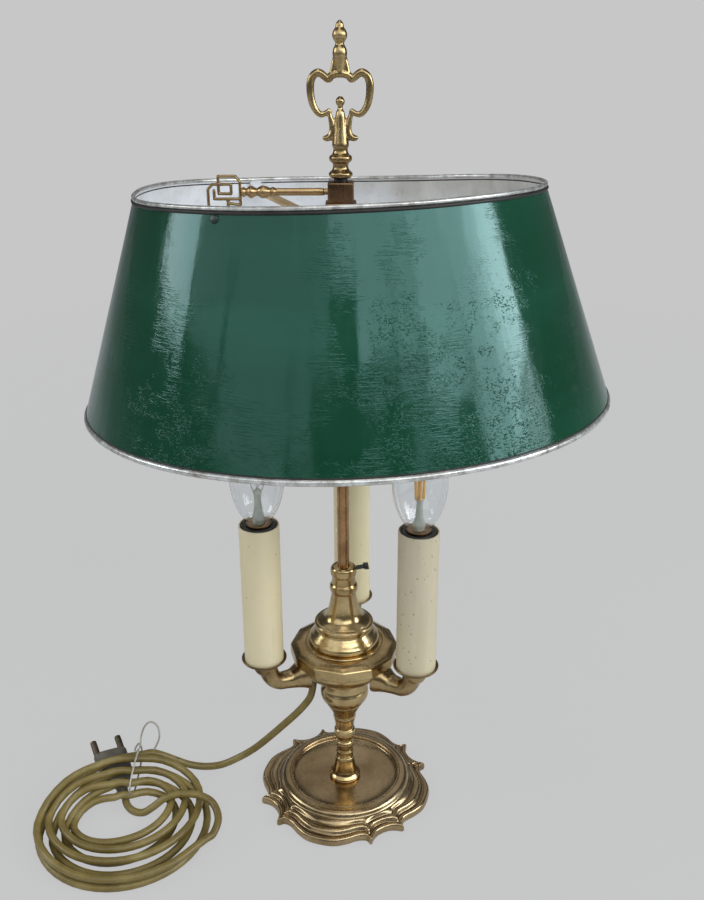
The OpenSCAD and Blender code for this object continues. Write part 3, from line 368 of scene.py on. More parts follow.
brass = brass_material(
    "brass", (0.36, 0.24, 0.105), (0.68, 0.51, 0.26), 0.17, (0.07, 0.042, 0.018))
brass_foot = brass_material(
    "brass_foot", (0.32, 0.22, 0.115), (0.6, 0.45, 0.26), 0.2, (0.06, 0.038, 0.018))
brass_top = brass_material(
    "brass_top", (0.3, 0.2, 0.09), (0.56, 0.41, 0.2), 0.2, (0.17, 0.11, 0.05))
brass_rod = brass_material(
    "brass_rod", (0.24, 0.12, 0.055), (0.5, 0.3, 0.14), 0.2, (0.12, 0.07, 0.03), (1, 1, 0.05))
dark_brass = brass_material(
    "dark_brass", (0.13, 0.075, 0.04), (0.3, 0.18, 0.1), 0.26, (0.03, 0.02, 0.012))
brass_arm = brass_material(
    "brass_arm", (0.27, 0.175, 0.08), (0.52, 0.38, 0.19), 0.22, (0.05, 0.03, 0.015))
brass_pan = brass_material(
    "brass_pan", (0.14, 0.09, 0.045), (0.34, 0.24, 0.12), 0.26, (0.03, 0.02, 0.012))
copper_brass = brass_material(
    "copper_brass", (0.36, 0.23, 0.11), (0.6, 0.42, 0.22), 0.24, (0.06, 0.035, 0.015), (0.05, 1, 1))


def strip_material():
    """Brass strips whose riveted ends are coated like the shade's inside."""
    material, tree, shader = new_material("strip_skin")
    flat = put(tree, "VectorMath", {0: position(tree, (1, 1, 0))}, operation="LENGTH").outputs["Value"]
    coated = ramp(tree, times(tree, flat, 5), (0.55, 0), (0.562, 1))
    tone = patchy(tree, 60, 5, 0.6, (0.34, (0.42, 0.28, 0.13)), (0.66, (0.62, 0.45, 0.24)))
    chalk = patchy(tree, 90, 5, 0.6, (0.3, (0.6, 0.6, 0.62)), (0.7, (0.78, 0.78, 0.8)))
    tone = blend(tree, coated, tone, chalk)
    tree.links.new(ramp(tree, coated, (0, 0.7), (1, 0)), shader.inputs["Metallic"])
    gloss = patchy(tree, 140, 4, 0.6, (0.3, 0.34), (0.7, 0.5))
    normal = bump(tree, cloud(tree, 500, 4, 0.6), 0.12, 0.2)
    finish(tree, shader, tone, gloss, normal)
    return material


strip_skin = strip_material()


def paint_material():
    """Hand-brushed green gloss paint on tinplate: brush marks, runs and blistered patches."""
    material, tree, shader = new_material("shade_paint", (("Specular Tint", (0.6, 1, 1, 1)),))
    axes = put(tree, "SeparateXYZ", {0: position(tree)})
    way = math_node(tree, "ARCTAN2", axes.outputs[1], axes.outputs[0])
    along = times(tree, way, 0.14)
    wall = put(tree, "CombineXYZ", {0: along, 1: axes.outputs[2]}).outputs[0]
    brushed, upright, creased = (
        put(tree, "Mapping", {"Vector": wall, "Scale": scale}).outputs[0]
        for scale in ((0.1, 1, 1), (1, 0.3, 1), (0.55, 1, 1)))
    # blisters gather low on the right, with lesser patches elsewhere
    side = times(tree, axes.outputs[0], 5)
    rightward = ramp(tree, side, (0, 0), (0.16, 0.12), (0.42, 0.12), (0.56, 0))
    lowered = times(tree, axes.outputs[2], -1.6)
    lean = plus(tree, rightward, lowered)
    patch = plus(tree, cloud(tree, 22, 6, 0.8, wall), lean)
    zone = ramp(tree, plus(tree, patch, 0.5), (0.47, 0), (0.63, 1))
    crumb = ramp(tree, cloud(tree, 1150, 3, 0.6, creased, 0.5), (0.52, 0), (0.62, 1))
    scatter = ramp(tree, cloud(tree, 140, 6, 0.8, wall), (0.46, 0), (0.6, 1))
    blister = times(tree, times(tree, crumb, scatter), zone)
    line = ramp(tree, cloud(tree, 900, 3, 0.6, brushed), (0.45, 0), (0.6, 1))
    swept = ramp(tree, cloud(tree, 30, 5, 0.7, wall), (0.5, 0), (0.62, 1))
    stroke = times(tree, line, swept)
    tone = ramp(
        tree, cloud(tree, 24, 5, 0.6, brushed),
        (0.3, (0.0055, 0.042, 0.02)), (0.55, (0.0075, 0.053, 0.027)),
        (0.75, (0.011, 0.066, 0.036)))
    tone = blend(tree, times(tree, blister, 0.3), tone, (0.004, 0.022, 0.015))
    gloss = ramp(tree, cloud(tree, 60, 5, 0.7, upright), (0.32, 0.06), (0.7, 0.16))
    normal = bump(tree, cloud(tree, 34, 3, 0.5, upright), 0.3, 1.6)
    normal = bump(tree, cloud(tree, 230, 4, 0.6, wall), 0.12, 0.3, normal)
    normal = bump(tree, stroke, 0.35, 0.12, normal)
    normal = bump(tree, blister, 1, 0.22, normal)
    finish(tree, shader, tone, gloss, normal)
    return material


def lining_material():
    """Silver-white inside, turning darker beige towards the rim and the right side, streaked, with
    grey patches.
    """
    material, tree, shader = new_material("shade_lining", (("Metallic", 0.1),))
    axes = put(tree, "SeparateXYZ", {0: position(tree)})
    rise = times(tree, axes.outputs[2], 10)
    height = math_node(tree, "SUBTRACT", rise, 3.6)
    side = times(tree, axes.outputs[0], 1.6)
    wander = times(tree, cloud(tree, 28, 5, 0.7), 0.5)
    level = plus(tree, plus(tree, height, side), wander)
    upper = ramp(tree, level, (0.72, 0), (1.08, 0.85))
    tone = patchy(tree, 26, 6, 0.65,
        (0.3, (0.66, 0.66, 0.68)), (0.5, (0.79, 0.79, 0.82)), (0.72, (0.88, 0.88, 0.9)))
    beige = ramp(
        tree, cloud(tree, 60, 6, 0.7, position(tree, (1, 1, 0.25))),
        (0.32, (0.4, 0.37, 0.32)), (0.68, (0.6, 0.57, 0.51)))
    tone = blend(tree, upper, tone, beige)
    rust = patchy(tree, 120, 6, 0.75, (0.58, 0), (0.72, 0.5))
    tone = blend(tree, rust, tone, (0.3, 0.27, 0.21))
    gloss = patchy(tree, 200, 4, 0.6, (0.3, 0.34), (0.7, 0.6))
    normal = bump(tree, cloud(tree, 420, 5, 0.7), 0.3, 0.25)
    finish(tree, shader, tone, gloss, normal)
    return material


def sleeve_material(name, tint, speck_from, scrape):
    """Cream card sleeve with brown specks, grime near its foot and a few scrapes."""
    material, tree, shader = new_material(name, (
        ("Subsurface Weight", 0.08),
        ("Subsurface Radius", (0.004, 0.003, 0.002))))
    axes = put(tree, "SeparateXYZ", {0: position(tree)})
    soft = tuple(c * f for c, f in zip(tint, (0.93, 0.9, 0.82)))
    tone = ramp(tree, cloud(tree, 34, 5, 0.6, position(tree, (1, 1, 0.3))), (0.3, soft), (0.7, tint))
    low = ramp(tree, times(tree, axes.outputs[2], 4), (0.5, 0.45), (0.66, 0))
    tone = blend(tree, low, tone, (0.66, 0.56, 0.34))
    fleck = ramp(tree, spots(tree, 300, position(tree, (1, 1, 0.6))), (0.08, 1), (0.2, 0))
    where = patchy(tree, 75, 4, 0.7, (speck_from, 0), (speck_from + 0.06, 1))
    mark = times(tree, fleck, where)
    tone = blend(tree, times(tree, mark, 0.75), tone, (0.2, 0.13, 0.06))
    streak = cloud(tree, 90, 5, 0.7, position(tree, (1, 1, 0.12)))
    worn = ramp(tree, streak, (scrape, 0), (scrape + 0.08, 0.35))
    tone = blend(tree, worn, tone, (0.5, 0.42, 0.28))
    gloss = patchy(tree, 120, 4, 0.6, (0.3, 0.38), (0.7, 0.55))
    normal = bump(tree, cloud(tree, 500, 4, 0.6), 0.12, 0.15)
    normal = bump(tree, mark, 0.3, 0.1, normal)
    finish(tree, shader, tone, gloss, normal)
    return material


def skin(name, tones, gloss, grain, metal=0, stain=None):
    """Clouded tones, uneven gloss and a fine grain; stain is its cloud and its colour."""
    material, tree, shader = new_material(name, (("Metallic", metal),))
    tone = patchy(tree, *tones)
    if stain:
        tone = blend(tree, patchy(tree, *stain[0]), tone, stain[1])
    scale, detail, rough, strength, depth = grain
    normal = bump(tree, cloud(tree, scale, detail, rough), strength, depth)
    finish(tree, shader, tone, patchy(tree, *gloss), normal)
    return material


def plain_material(name, dark, light, rough, metal=0, grain=260, depth=0.15):
    """Moulded or blackened stuff in two close tones."""
    return skin(name, (70, 5, 0.65, (0.32, dark), (0.68, light)),
                (140, 4, 0.6, (0.3, rough), (0.7, rough + 0.18)), (grain, 4, 0.6, depth, 0.2), metal)


def glass_material():
    """Clear thin glass with a little dust on it."""
    material, tree, shader = new_material("bulb_glass", (
        ("Base Color", (1, 1, 1, 1)),
        ("Transmission Weight", 1),
        ("IOR", 1.46)))
    dust = patchy(tree, 140, 5, 0.7, (0.45, 0), (0.75, 0.07))
    tree.links.new(dust, shader.inputs["Roughness"])
    return material


paint = paint_material()
lining = lining_material()
# Bare tinned wire of the rims, rubbed bright and rusted in places
rim_metal = skin(
    "rim_metal", (110, 6, 0.7, (0.34, (0.36, 0.34, 0.31)), (0.62, (0.8, 0.79, 0.77))),
    (300, 4, 0.6, (0.3, 0.25), (0.7, 0.5)), (380, 5, 0.7, 0.25, 0.25), 0.85,
    ((60, 5, 0.7, (0.56, 0), (0.68, 0.8)), (0.14, 0.085, 0.05)))
# Near-black for painted shadow: the lines along the rims and the gap at the rod's neck
painted_shadow_dark = plain_material("painted_shadow", (0.004, 0.003, 0.003), (0.022, 0.017, 0.014), 0.4)
rivet_paint = plain_material("rivet_paint", (0.003, 0.01, 0.007), (0.008, 0.028, 0.018), 0.2)
cream_left = sleeve_material("sleeve_left", (0.74, 0.64, 0.43), 0.58, 0.62)
cream_right = sleeve_material("sleeve_right", (0.57, 0.5, 0.365), 0.45, 0.5)
cream_back = sleeve_material("sleeve_back", (0.72, 0.64, 0.42), 0.62, 0.66)
black = plain_material("black_fitting", (0.011, 0.01, 0.009), (0.035, 0.032, 0.029), 0.34)
steel = plain_material("plated_steel", (0.32, 0.32, 0.31), (0.52, 0.52, 0.5), 0.24, 1)
cap_metal = plain_material("cap_metal", (0.22, 0.13, 0.07), (0.45, 0.3, 0.17), 0.3, 1)
felt = plain_material("felt", (0.03, 0.045, 0.034), (0.055, 0.075, 0.058), 0.8, 0, 1800, 0.6)
ivory = plain_material("ivory_plastic", (0.62, 0.58, 0.46), (0.72, 0.68, 0.56), 0.35)
lead = plain_material("lead_wire", (0.25, 0.22, 0.16), (0.36, 0.32, 0.25), 0.4)
tie_metal = plain_material("tie_wire", (0.3, 0.27, 0.23), (0.52, 0.49, 0.44), 0.35, 0.4)
glass = glass_material()
stem_glass = plain_material("stem_glass", (0.36, 0.4, 0.34), (0.55, 0.58, 0.5), 0.12)
strip_lit = plain_material("filament_strip", (0.86, 0.4, 0.05), (0.95, 0.6, 0.16), 0.4)
support = plain_material("filament_wire", (0.35, 0.34, 0.32), (0.55, 0.54, 0.52), 0.2, 1)
plug_plastic = plain_material("plug_plastic", (0.06, 0.05, 0.038), (0.125, 0.108, 0.082), 0.3)
pin_metal = plain_material("pin_metal", (0.055, 0.04, 0.026), (0.17, 0.135, 0.095), 0.28, 1)
# Gold-olive round flex, rubbed lighter in places and grimy in others
cord_skin = skin(
    "cord",
    (30, 6, 0.65, (0.3, (0.115, 0.078, 0.018)), (0.5, (0.185, 0.132, 0.034)),
     (0.7, (0.27, 0.205, 0.07))),
    (130, 4, 0.6, (0.3, 0.3), (0.7, 0.48)), (700, 4, 0.6, 0.14, 0.12), 0,
    ((190, 5, 0.7, (0.56, 0), (0.7, 0.5)), (0.075, 0.055, 0.022)))


# Cord

CORD_D = 5.3
GLAND = (-22.5, 0, 97)
COIL_AT = (-156, -38)
COIL_R = 63.5
COIL_PITCH = 9.4
COIL_START = 88
COIL_TURNS = 3.086
COIL_END = 2 * COIL_TURNS + 0.5
COIL_LAYER = 6.8
COIL_WIDE = 0.2
COIL_WIDE_WAY = 315
PLUG_WAY = 110
DENT = 25.5
FLARE = 3.2
RINGS = 24
PIN_APART = 19


def cosd(a):
    return math.cos(rad(a))


def sind(a):
    return math.sin(rad(a))


def rise(way):
    """1 over the plug, falling to 0 a quarter turn from it."""
    off = abs((way - PLUG_WAY + 180) % 360 - 180)
    if off < 20:
        return 1
    return 0 if off > 90 else (1 + cosd((off - 20) / 70 * 180)) / 2


def turns_in(s):
    if s < COIL_TURNS:
        return s
    if s < COIL_TURNS + 0.5:
        return s - 2 * (s - COIL_TURNS) ** 2
    return COIL_END - s


def drift(s, way):
    """How the two loose layers have slid apart, away from the tied bunch."""
    lower = smoothstep(0, 0.5, s) * (1 - smoothstep(COIL_TURNS - 0.8, COIL_TURNS, s))
    upper = (smoothstep(COIL_TURNS, COIL_TURNS + 1, s)
             * (1 - smoothstep(COIL_END - 0.8, COIL_END - 0.1, s)))
    loose = 1 - rise(way)
    return Vector((loose * (2.5 * lower - 2.5 * upper), loose * (5 * upper - 4 * lower), 0))


def coil_point(s):
    way = (COIL_START + 360 * s) % 360
    up = rise(way)
    climb = min(max((s - COIL_TURNS) / 0.5, 0), 1)
    turn_r = (COIL_R - DENT * up
              - COIL_PITCH * turns_in(s) * (1 + COIL_WIDE * cosd(way - COIL_WIDE_WAY)))
    r = turn_r + FLARE * max(0, 1 - 5 * s) ** 2
    z = (CORD_D / 2 + COIL_LAYER * (1 - cosd(180 * climb)) / 2
         + up * max(15.8 + (turn_r - 23.5) * 0.542, 0))
    return Vector((COIL_AT[0] + r * cosd(way), COIL_AT[1] + r * sind(way), z)) + drift(s, way)


coil_steps = round(COIL_END * RINGS)
coil_points = [coil_point(i / RINGS) for i in range(coil_steps + 1)]
in_way = (coil_points[0] - coil_points[1]).normalized()
out_way = (coil_points[-1] - coil_points[-2]).normalized()
coil_in = coil_points[0] + CORD_D * in_way
coil_out = coil_points[-1] + CORD_D * out_way
PLUG_FOOT = Vector((-162.4, -15.4, 7.5))
PLUG_DIR = Vector((-0.435, 0.768, 0.4695)).normalized()
PLUG_ROLL = 10

free_route = [
    GLAND, (-22.5, 0, 90), (-25, 0.3, 79), (-33, 1.5, 67), (-44, 3.5, 54), (-56, 6.5, 40),
    (-68, 9.5, 27), (-81, 12, 16.5), (-94, 13.5, 9), (-106.5, 13, 7.8), (-118, 10.6, 11.8),
    (-127.5, 8.2, 18), (-136, 6.6, 23.4), coil_in + 6 * in_way, coil_in,
]
tail_route = [
    coil_out, coil_out + 6 * out_way, coil_out + 12 * out_way, (-88.5, -48, 13),
    (-93.5, -37, 16.6), (-104, -29.5, 17.2), (-117, -27.5, 16.8), (-128.5, -28.5, 14.4),
    (-137, -30.5, 8.6), (-144.5, -32, 4.2), (-152, -30, 3.4), (-158, -24.4, 3.9),
    PLUG_FOOT - 3 * PLUG_DIR, PLUG_FOOT + 3 * PLUG_DIR,
]
cord_path = smooth(free_route, 4)[:-1] + smooth(
    [coil_in, *coil_points, coil_out], 2)[:-1] + smooth(tail_route, 4)


def wire(name, path, diameter, material, replaces=()):
    """A round curve through points in millimetres."""
    data = bpy.data.curves.new(name, "CURVE")
    data.dimensions = "3D"
    data.bevel_depth = diameter / 2 * MM
    data.bevel_resolution = 5
    data.use_fill_caps = True
    line = data.splines.new("POLY")
    line.points.add(len(path) - 1)
    for point, place in zip(line.points, path):
        point.co = (*(v * MM for v in place), 1)
    line.use_smooth = True
    data.materials.append(material)
    return settle(add(name, data), "stand", replaces)


cord = wire("cord_line", cord_path, CORD_D, cord_skin,
            ("cord_free", "cord_coil", "cord_tail"))

# The plug lies under the coil, its pins leaning up behind it
plug_place = (
    Matrix.Translation(PLUG_FOOT)
    @ Matrix.Rotation(math.atan2(PLUG_DIR.y, PLUG_DIR.x), 4, "Z")
    @ Matrix.Rotation(math.acos(PLUG_DIR.z), 4, "Y")
    @ Matrix.Rotation(rad(90 + PLUG_ROLL), 4, "Z")
)


def plug_body():
    """Rounded section that swells from the cord's neck to the face, with finger dents."""
    stations = smooth([
        (0, 3.6, 3.6), (2.5, 4, 4), (5.5, 4.8, 4.6), (9, 8.2, 5.3), (13, 11, 5.5),
        (18, 11.9, 5.1), (24, 12.1, 5.1), (30, 12.3, 5.5), (32.6, 12.2, 5.4), (33.7, 11.6, 4.9),
        (34, 10.6, 4.2)], 5)
    rings = []
    for z, half_w, half_t in stations:
        ring = []
        for k in range(48):
            c = math.cos(TAU * k / 48)
            s = math.sin(TAU * k / 48)
            power = mix(1, 0.62, smoothstep(5, 12, z))
            x = math.copysign(abs(c) ** power, c) * half_w
            y = math.copysign(abs(s) ** power, s) * half_t
            ring.append((x, y, z))
        rings.append(ring)
    return grid(rings, cap_first=True, cap_last=True)


plug = piece("plug_case", moved(plug_body(), plug_place), plug_plastic,
             replaces=("plug",), sharp=50)


def plug_pin(side):
    pin = turned([
        (2.4, 26), (2.4, 26), (2.4, 27.4), (2.4, 30), (2.4, 40), (2.35, 43.6), (2.1, 44.7),
        (1.2, 45), (1.2, 45)], 0, 1, 3, 28)
    return moved(pin, plug_place @ Matrix.Translation((side * PIN_APART / 2, 0, 0)))


pins = piece("plug_contacts", join(plug_pin(-1), plug_pin(1)), pin_metal,
             replaces=("plug_pins",))

# Wire tie round the bunch of turns, then a standing loop
TIE_WAY = 84
BUNCH_R = 28.2
BUNCH_Z = 24
BUNCH_LEAN = 28


def beside(out, up, along):
    r = BUNCH_R + out
    return (COIL_AT[0] + r * cosd(TIE_WAY) - along * sind(TIE_WAY),
            COIL_AT[1] + r * sind(TIE_WAY) + along * cosd(TIE_WAY), BUNCH_Z + up)


def squared(c):
    return math.copysign(abs(c) ** 0.75, c)


tie_turn = []
for a in range(60, 421, 15):
    u = 18.6 * squared(cosd(a))
    v = 10 * squared(sind(a))
    tie_turn.append(beside(u * cosd(BUNCH_LEAN) - v * sind(BUNCH_LEAN),
                           u * sind(BUNCH_LEAN) + v * cosd(BUNCH_LEAN), (a - 240) / 130))
tie_loop = [
    beside(4, 13, 0), beside(5, 17, -3), beside(8, 24, -3.5), beside(11, 31, -6),
    beside(12, 34, -10.5), beside(11, 31, -15.5), beside(8.5, 24, -17), beside(6.5, 18, -15),
    beside(5.5, 14.5, -13),
]
tie = wire("tie_line", smooth(tie_turn + tie_loop, 4), 1.3, tie_metal, ("coil_tie",))


# Foot

FOOT_TURN = -16
FOOT_ROUND_R = 60.3
RECESS_R = 48
RECESS_H = 3
FOOT_SHAPE = [
    (0, 63), (9, 62.7), (17, 60.5), (25, 58), (31, 59.2), (33, 63.5), (36, 60.1), (40, 57.4),
    (45, 56.5),
]


def foot_outline():
    """Angle and radius all round: four lobes with a pair of cusps at each corner."""
    half = smooth(FOOT_SHAPE, 8)
    out = []
    for q in range(4):
        out += [(q * 90 + a, r) for a, r in half]
        out += [(q * 90 + 90 - a, r) for a, r in half[-2:0:-1]]
    return out


# Section of the foot from its underside up: drawn in by, height, share of roundness
FOOT_SECTION = [
    (11, 0, 0), (2.2, 0, 0), (0.6, 0.5, 0), (0, 1.6, 0), (0, 3.4, 0),
    (0.35, 4.9, 0), (1.1, 5.9, 0), (2.2, 6.2, 0), (3.2, 6, 0.05), (4.1, 5.6, 0.1),
    (4.9, 5.7, 0.15), (5.5, 6.6, 0.2), (6.3, 8, 0.25), (7.4, 8.7, 0.3), (8.4, 8.7, 0.38),
    (9.3, 8.5, 0.48), (10.2, 8.9, 0.6), (10.9, 9.8, 0.72), (11.8, 10.7, 0.84),
    (12.6, 11.1, 0.94),
]
RING_SECTION = [
    (48.4, 11.2), (47.4, 11.6), (46.7, 12.6), (46, 13.9), (44.6, 15), (43, 15.5),
    (41.4, 15.6), (40.6, 15.7), (40.1, 16), (39.4, 16), (38.8, 15.5), (38.6, 14.6),
    (38.3, 13.4), (37.2, 12.6), (34.8, 11.8), (31.5, 11.2), (27, 11), (18, 11), (9, 11),
]


def foot():
    outline = foot_outline()

    def round_ring(r, z):
        return [polar(r, rad(a + FOOT_TURN), z) for a, _ in outline]

    rings = []
    for inset, z, roundness in smooth(FOOT_SECTION, 3):
        rings.append([polar(mix(r, FOOT_ROUND_R, roundness) - inset, rad(a + FOOT_TURN), z)
                      for a, r in outline])
    rings += [round_ring(r, z) for r, z in smooth(RING_SECTION, 4)]
    under = [round_ring(RECESS_R, z) for z in (RECESS_H, 0)]
    return grid(under + rings, cap_first=True, cap_last=True)


piece("foot_casting", foot(), brass_foot, replaces=("base_foot",), sharp=60)


# Stem, hub and column

piece("stem_flare", turned([
    (10.2, 0), (10.9, 0.02), (11.3, 0.055), (11.1, 0.1), (10.3, 0.14), (9.3, 0.19), (8.3, 0.29),
    (7.5, 0.42), (7.1, 0.54), (6.8, 0.64), (6.3, 0.69), (5.3, 0.72), (5.2, 0.75), (5.3, 0.78),
    (6.1, 0.8), (6.25, 0.85), (6.1, 0.9), (5.3, 0.925), (5.1, 0.96), (5.4, 1)], 11, 26),
    brass, replaces=("stem_foot",))
piece("stem_knop", turned([
    (5.2, 0), (5.9, 0.03), (6.3, 0.1), (6.3, 0.22), (5.9, 0.29), (5.3, 0.34), (5.2, 0.42),
    (5.5, 0.5), (6.6, 0.55), (7, 0.6), (7.5, 0.66), (7.6, 0.74), (7.6, 0.84), (7.3, 0.91),
    (6.5, 0.95), (6, 1)], 37, 18),
    brass, replaces=("stem_beads",))
piece("stem_vase", turned([
    (6, 0), (6.6, 0.02), (7.2, 0.1), (7.7, 0.17), (8.1, 0.195), (8.2, 0.215), (7.9, 0.235),
    (8.2, 0.26), (9.4, 0.33), (11.2, 0.4), (12.6, 0.455), (13.2, 0.48), (13.2, 0.495),
    (14.2, 0.52), (15.9, 0.57), (16.8, 0.62), (17.1, 0.67), (16.9, 0.73), (16.2, 0.765),
    (15.6, 0.8), (15.3, 0.87), (15.9, 0.93), (17.4, 1)], 55, 46),
    brass, replaces=("stem_cup",))


HUB_TURN = -1


def hub():
    """Round bowl under a twelve-sided belt, with a shallow moulded cover."""
    section = smooth([
        (12, 101, 0), (17.6, 101, 0), (18.3, 101.2, 0), (21, 101.9, 0), (24.5, 103.9, 0),
        (28.5, 106.6, 0.05), (31.4, 109.8, 0.15), (33.4, 112.8, 0.35), (34.6, 115.6, 0.7),
        (35.2, 116.6, 1), (37, 117.2, 1), (37.8, 118, 1), (37.8, 118, 1),
        (37.8, 121, 1), (37.8, 124.2, 1), (37.8, 124.2, 1), (37.1, 125.1, 1),
        (35.8, 125.7, 0.9), (33.8, 126.6, 0.55), (31.2, 127.4, 0.25), (28.6, 127.8, 0.05),
        (27.4, 127.7, 0), (26.6, 127.9, 0), (26.2, 128.4, 0), (25.4, 128.6, 0), (14, 128.6, 0)], 4)
    rings = []
    for r, z, corners in section:
        ring = []
        for k in range(240):
            a = 1.5 * k
            turn = (a - HUB_TURN) % 30 - 15
            flat = r * min(cosd(15) / cosd(turn), 0.9955)
            ring.append(polar(mix(r, flat, corners), rad(a), z))
        rings.append(ring)
    return grid(rings, cap_first=True, cap_last=True)


piece("hub_body", hub(), brass, replaces=("hub_bowl", "hub_cover"), sharp=50)
piece("column_moulding", turned([
    (23, 0), (23.8, 0.02), (24.5, 0.1), (24.6, 0.2), (24.3, 0.31), (23.5, 0.42), (22.1, 0.55),
    (20.9, 0.68), (19.9, 0.78), (19.4, 0.84), (19.3, 0.9), (19.4, 1)], 128.6, 12.4),
    brass, replaces=("column_base",))
piece("column_bell", turned([
    (19.2, 0), (20.1, 0.012), (20.4, 0.035), (20.3, 0.06), (19.4, 0.078), (18, 0.085),
    (17.6, 0.095), (15.6, 0.118), (13.9, 0.145), (12.6, 0.18), (11.6, 0.22), (10.8, 0.27),
    (9.8, 0.36), (9, 0.45), (8.6, 0.5), (8.45, 0.54), (8.5, 0.565), (9.2, 0.585),
    (9.55, 0.615), (9.6, 0.65), (9.3, 0.68), (8.6, 0.7), (8.1, 0.72), (8, 0.76),
    (8, 0.81), (8.3, 0.835), (8.8, 0.86), (8.95, 0.9), (8.8, 0.94), (8.3, 0.965),
    (7.2, 0.985), (5.2, 0.995), (4.2, 0.995)], 141, 46.5, 6, 96),
    brass, replaces=("column",))


# Finial

FINIAL_Z = 442.5
FINIAL_H = 85
BAR_R = 2.3
LOOP_X = 19.1 - BAR_R


def finial_bar(shares, thick, side):
    """One loop or leaf, drawn as shares of the loop's reach and the finial's height."""
    path = [(side * x * LOOP_X, 0, FINIAL_Z + z * FINIAL_H) for x, z in smooth(shares, 6)]
    last = len(path) - 1
    radii = [BAR_R * (thick + (1 - thick) * math.sin(math.pi * i / last)) for i in range(last + 1)]
    return sweep(path, radii, 14, (0, 1, 0), 0.92)


def finial():
    loop = [
        (0.1, 0.81), (0.2, 0.73), (0.28, 0.66), (0.38, 0.636), (0.5, 0.65), (0.62, 0.67),
        (0.76, 0.678), (0.92, 0.655), (1, 0.61), (1, 0.55), (0.95, 0.49), (0.84, 0.445),
        (0.68, 0.416), (0.5, 0.422), (0.34, 0.445)]
    leaf = [(0.4, 0.44), (0.3, 0.37), (0.25, 0.315), (0.33, 0.275), (0.5, 0.262), (0.58, 0.275)]
    stem = turned([
        (4.9, 0), (6.4, 0.006), (7, 0.02), (6.8, 0.036), (5.8, 0.046), (4.7, 0.062),
        (4.5, 0.085), (4.9, 0.1), (6.3, 0.112), (6.7, 0.13), (6.3, 0.147), (5, 0.157),
        (4.3, 0.175), (4.2, 0.195), (4.9, 0.215), (4.5, 0.25), (3.5, 0.33), (2.6, 0.42),
        (1.5, 0.452), (1.6, 0.468), (2.5, 0.485), (2.6, 0.503), (1.9, 0.52), (0.8, 0.531)],
        FINIAL_Z, FINIAL_H, 5, 48)
    acorn = turned([
        (1.8, 0.66), (2.2, 0.69), (3.2, 0.74), (4.1, 0.79), (3.7, 0.825), (2.6, 0.85),
        (2.5, 0.862), (3.6, 0.88), (4.2, 0.9), (4.2, 0.915), (3.4, 0.94), (2.4, 0.953),
        (2.3, 0.965), (2.1, 0.978), (1.4, 0.99), (0.5, 1)], FINIAL_Z, FINIAL_H, 5, 48)
    bars = [finial_bar(shares, thick, side)
            for shares, thick in ((loop, 0.62), (leaf, 0.45)) for side in (-1, 1)]
    cross = sweep(
        [(x, 0, FINIAL_Z + FINIAL_H * z) for x, z in ((-6, 0.655), (-2, 0.67), (2, 0.67), (6, 0.655))],
        [1.9, 2.2, 2.2, 1.9], 12, (0, 1, 0))
    return join(stem, acorn, cross, *bars)


finial_obj = piece("finial_casting", finial(), brass_top, "rod",
                   ("finial", "finial_top", "finial_loops", "finial_leaves"))
fuse(finial_obj, 0.45, 6)


# Carrier and key

carrier = piece("carrier_block", join(
    block(7.65, 428.6, 440.5), block(9.2, 426.9, 428.9)),
    dark_brass, "carrier", ("carrier",))
bevel(carrier, 0.9)
piece("carrier_sleeve", shell(
    smooth([(8.5, 415.1), (8.5, 415.1), (8.5, 422), (8.1, 426.2), (8.1, 427.5)], 3)[::-1]
    + [(6, 415), (6, 408.2), (5.6, 407.9)],
    [(4.1, 427.5), (4.1, 407.9)], 64), dark_brass, "carrier")
# A dark sleeve on the rod in the gap under the finial: painted shade between the parts
piece("rod_neck", shell([(4.07, 440.2), (4.07, 442.6)], [(4.02, 440.2), (4.02, 442.6)]),
      painted_shadow_dark, "rod")

KEY_Z = 434.7


def key_shaft():
    profile = smooth([
        (1.8, 4.2), (1.8, 4.2), (1.8, 7.6), (1.8, 9.8), (2.2, 10.4), (2.2, 10.4), (2.2, 20),
        (2.15, 30), (2.2, 38.4), (2.2, 38.4), (2.7, 39.2), (2.9, 40.2), (2.5, 41), (2.3, 41.4),
        (2.9, 42.6), (3.5, 44.2), (3.7, 45.8), (3.4, 47.2), (2.7, 48.3), (2.2, 49.3),
        (2.6, 50.4), (3.3, 51.6), (3.7, 52.7), (3.3, 53.8), (2.5, 54.8), (2, 55.7),
        (2.7, 56.6), (2.9, 57.3), (2.3, 58.2), (1.6, 58.6)], 4)
    data = turned(profile, 0, 1, 1, 40)
    return moved(data, Matrix.Translation((0, 0, KEY_Z)) @ Matrix.Rotation(rad(-90), 4, "Y"))


piece("key_spindle", key_shaft(), copper_brass, "key", ("key_shaft",))

BOW_X = -58.2
BOW_W = 21
BOW_H = 20
BOW_BARS = [
    ((0.05, 0.12), (0.05, 0.8)), ((0.05, 0.8), (0.17, 0.95)), ((0.17, 0.95), (0.65, 0.95)),
    ((0.65, 0.45), (0.65, 0.95)), ((0.3, 0.45), (0.65, 0.45)), ((0.3, 0.45), (0.3, 0.72)),
    ((0.3, 0.72), (0.82, 0.72)), ((0.82, 0.72), (0.95, 0.58)), ((0.95, 0.05), (0.95, 0.58)),
    ((0.4, 0.05), (0.95, 0.05)), ((0.4, 0.05), (0.4, 0.3)), ((0.05, 0.3), (0.78, 0.3)),
    ((0.78, 0.3), (0.78, 0.55)), ((0.05, 0.12), (0.4, 0.18)),
]


def key_bow():
    bars = []
    for a, b in BOW_BARS:
        ends = [Vector((BOW_X - x * BOW_W, 0, KEY_Z + (z - 0.5) * BOW_H)) for x, z in (a, b)]
        way = (ends[1] - ends[0]).normalized()
        path = [ends[0] - way * 0.7, ends[0], ends[1], ends[1] + way * 0.7]
        bars.append(sweep(path, [0.5, 0.88, 0.88, 0.5], 12, (0, 1, 0), 1.45))
    return join(*bars)


bow = piece("key_fret", key_bow(), brass_top, "key", ("key_bow",))
fuse(bow, 0.3, 2)


# Shade

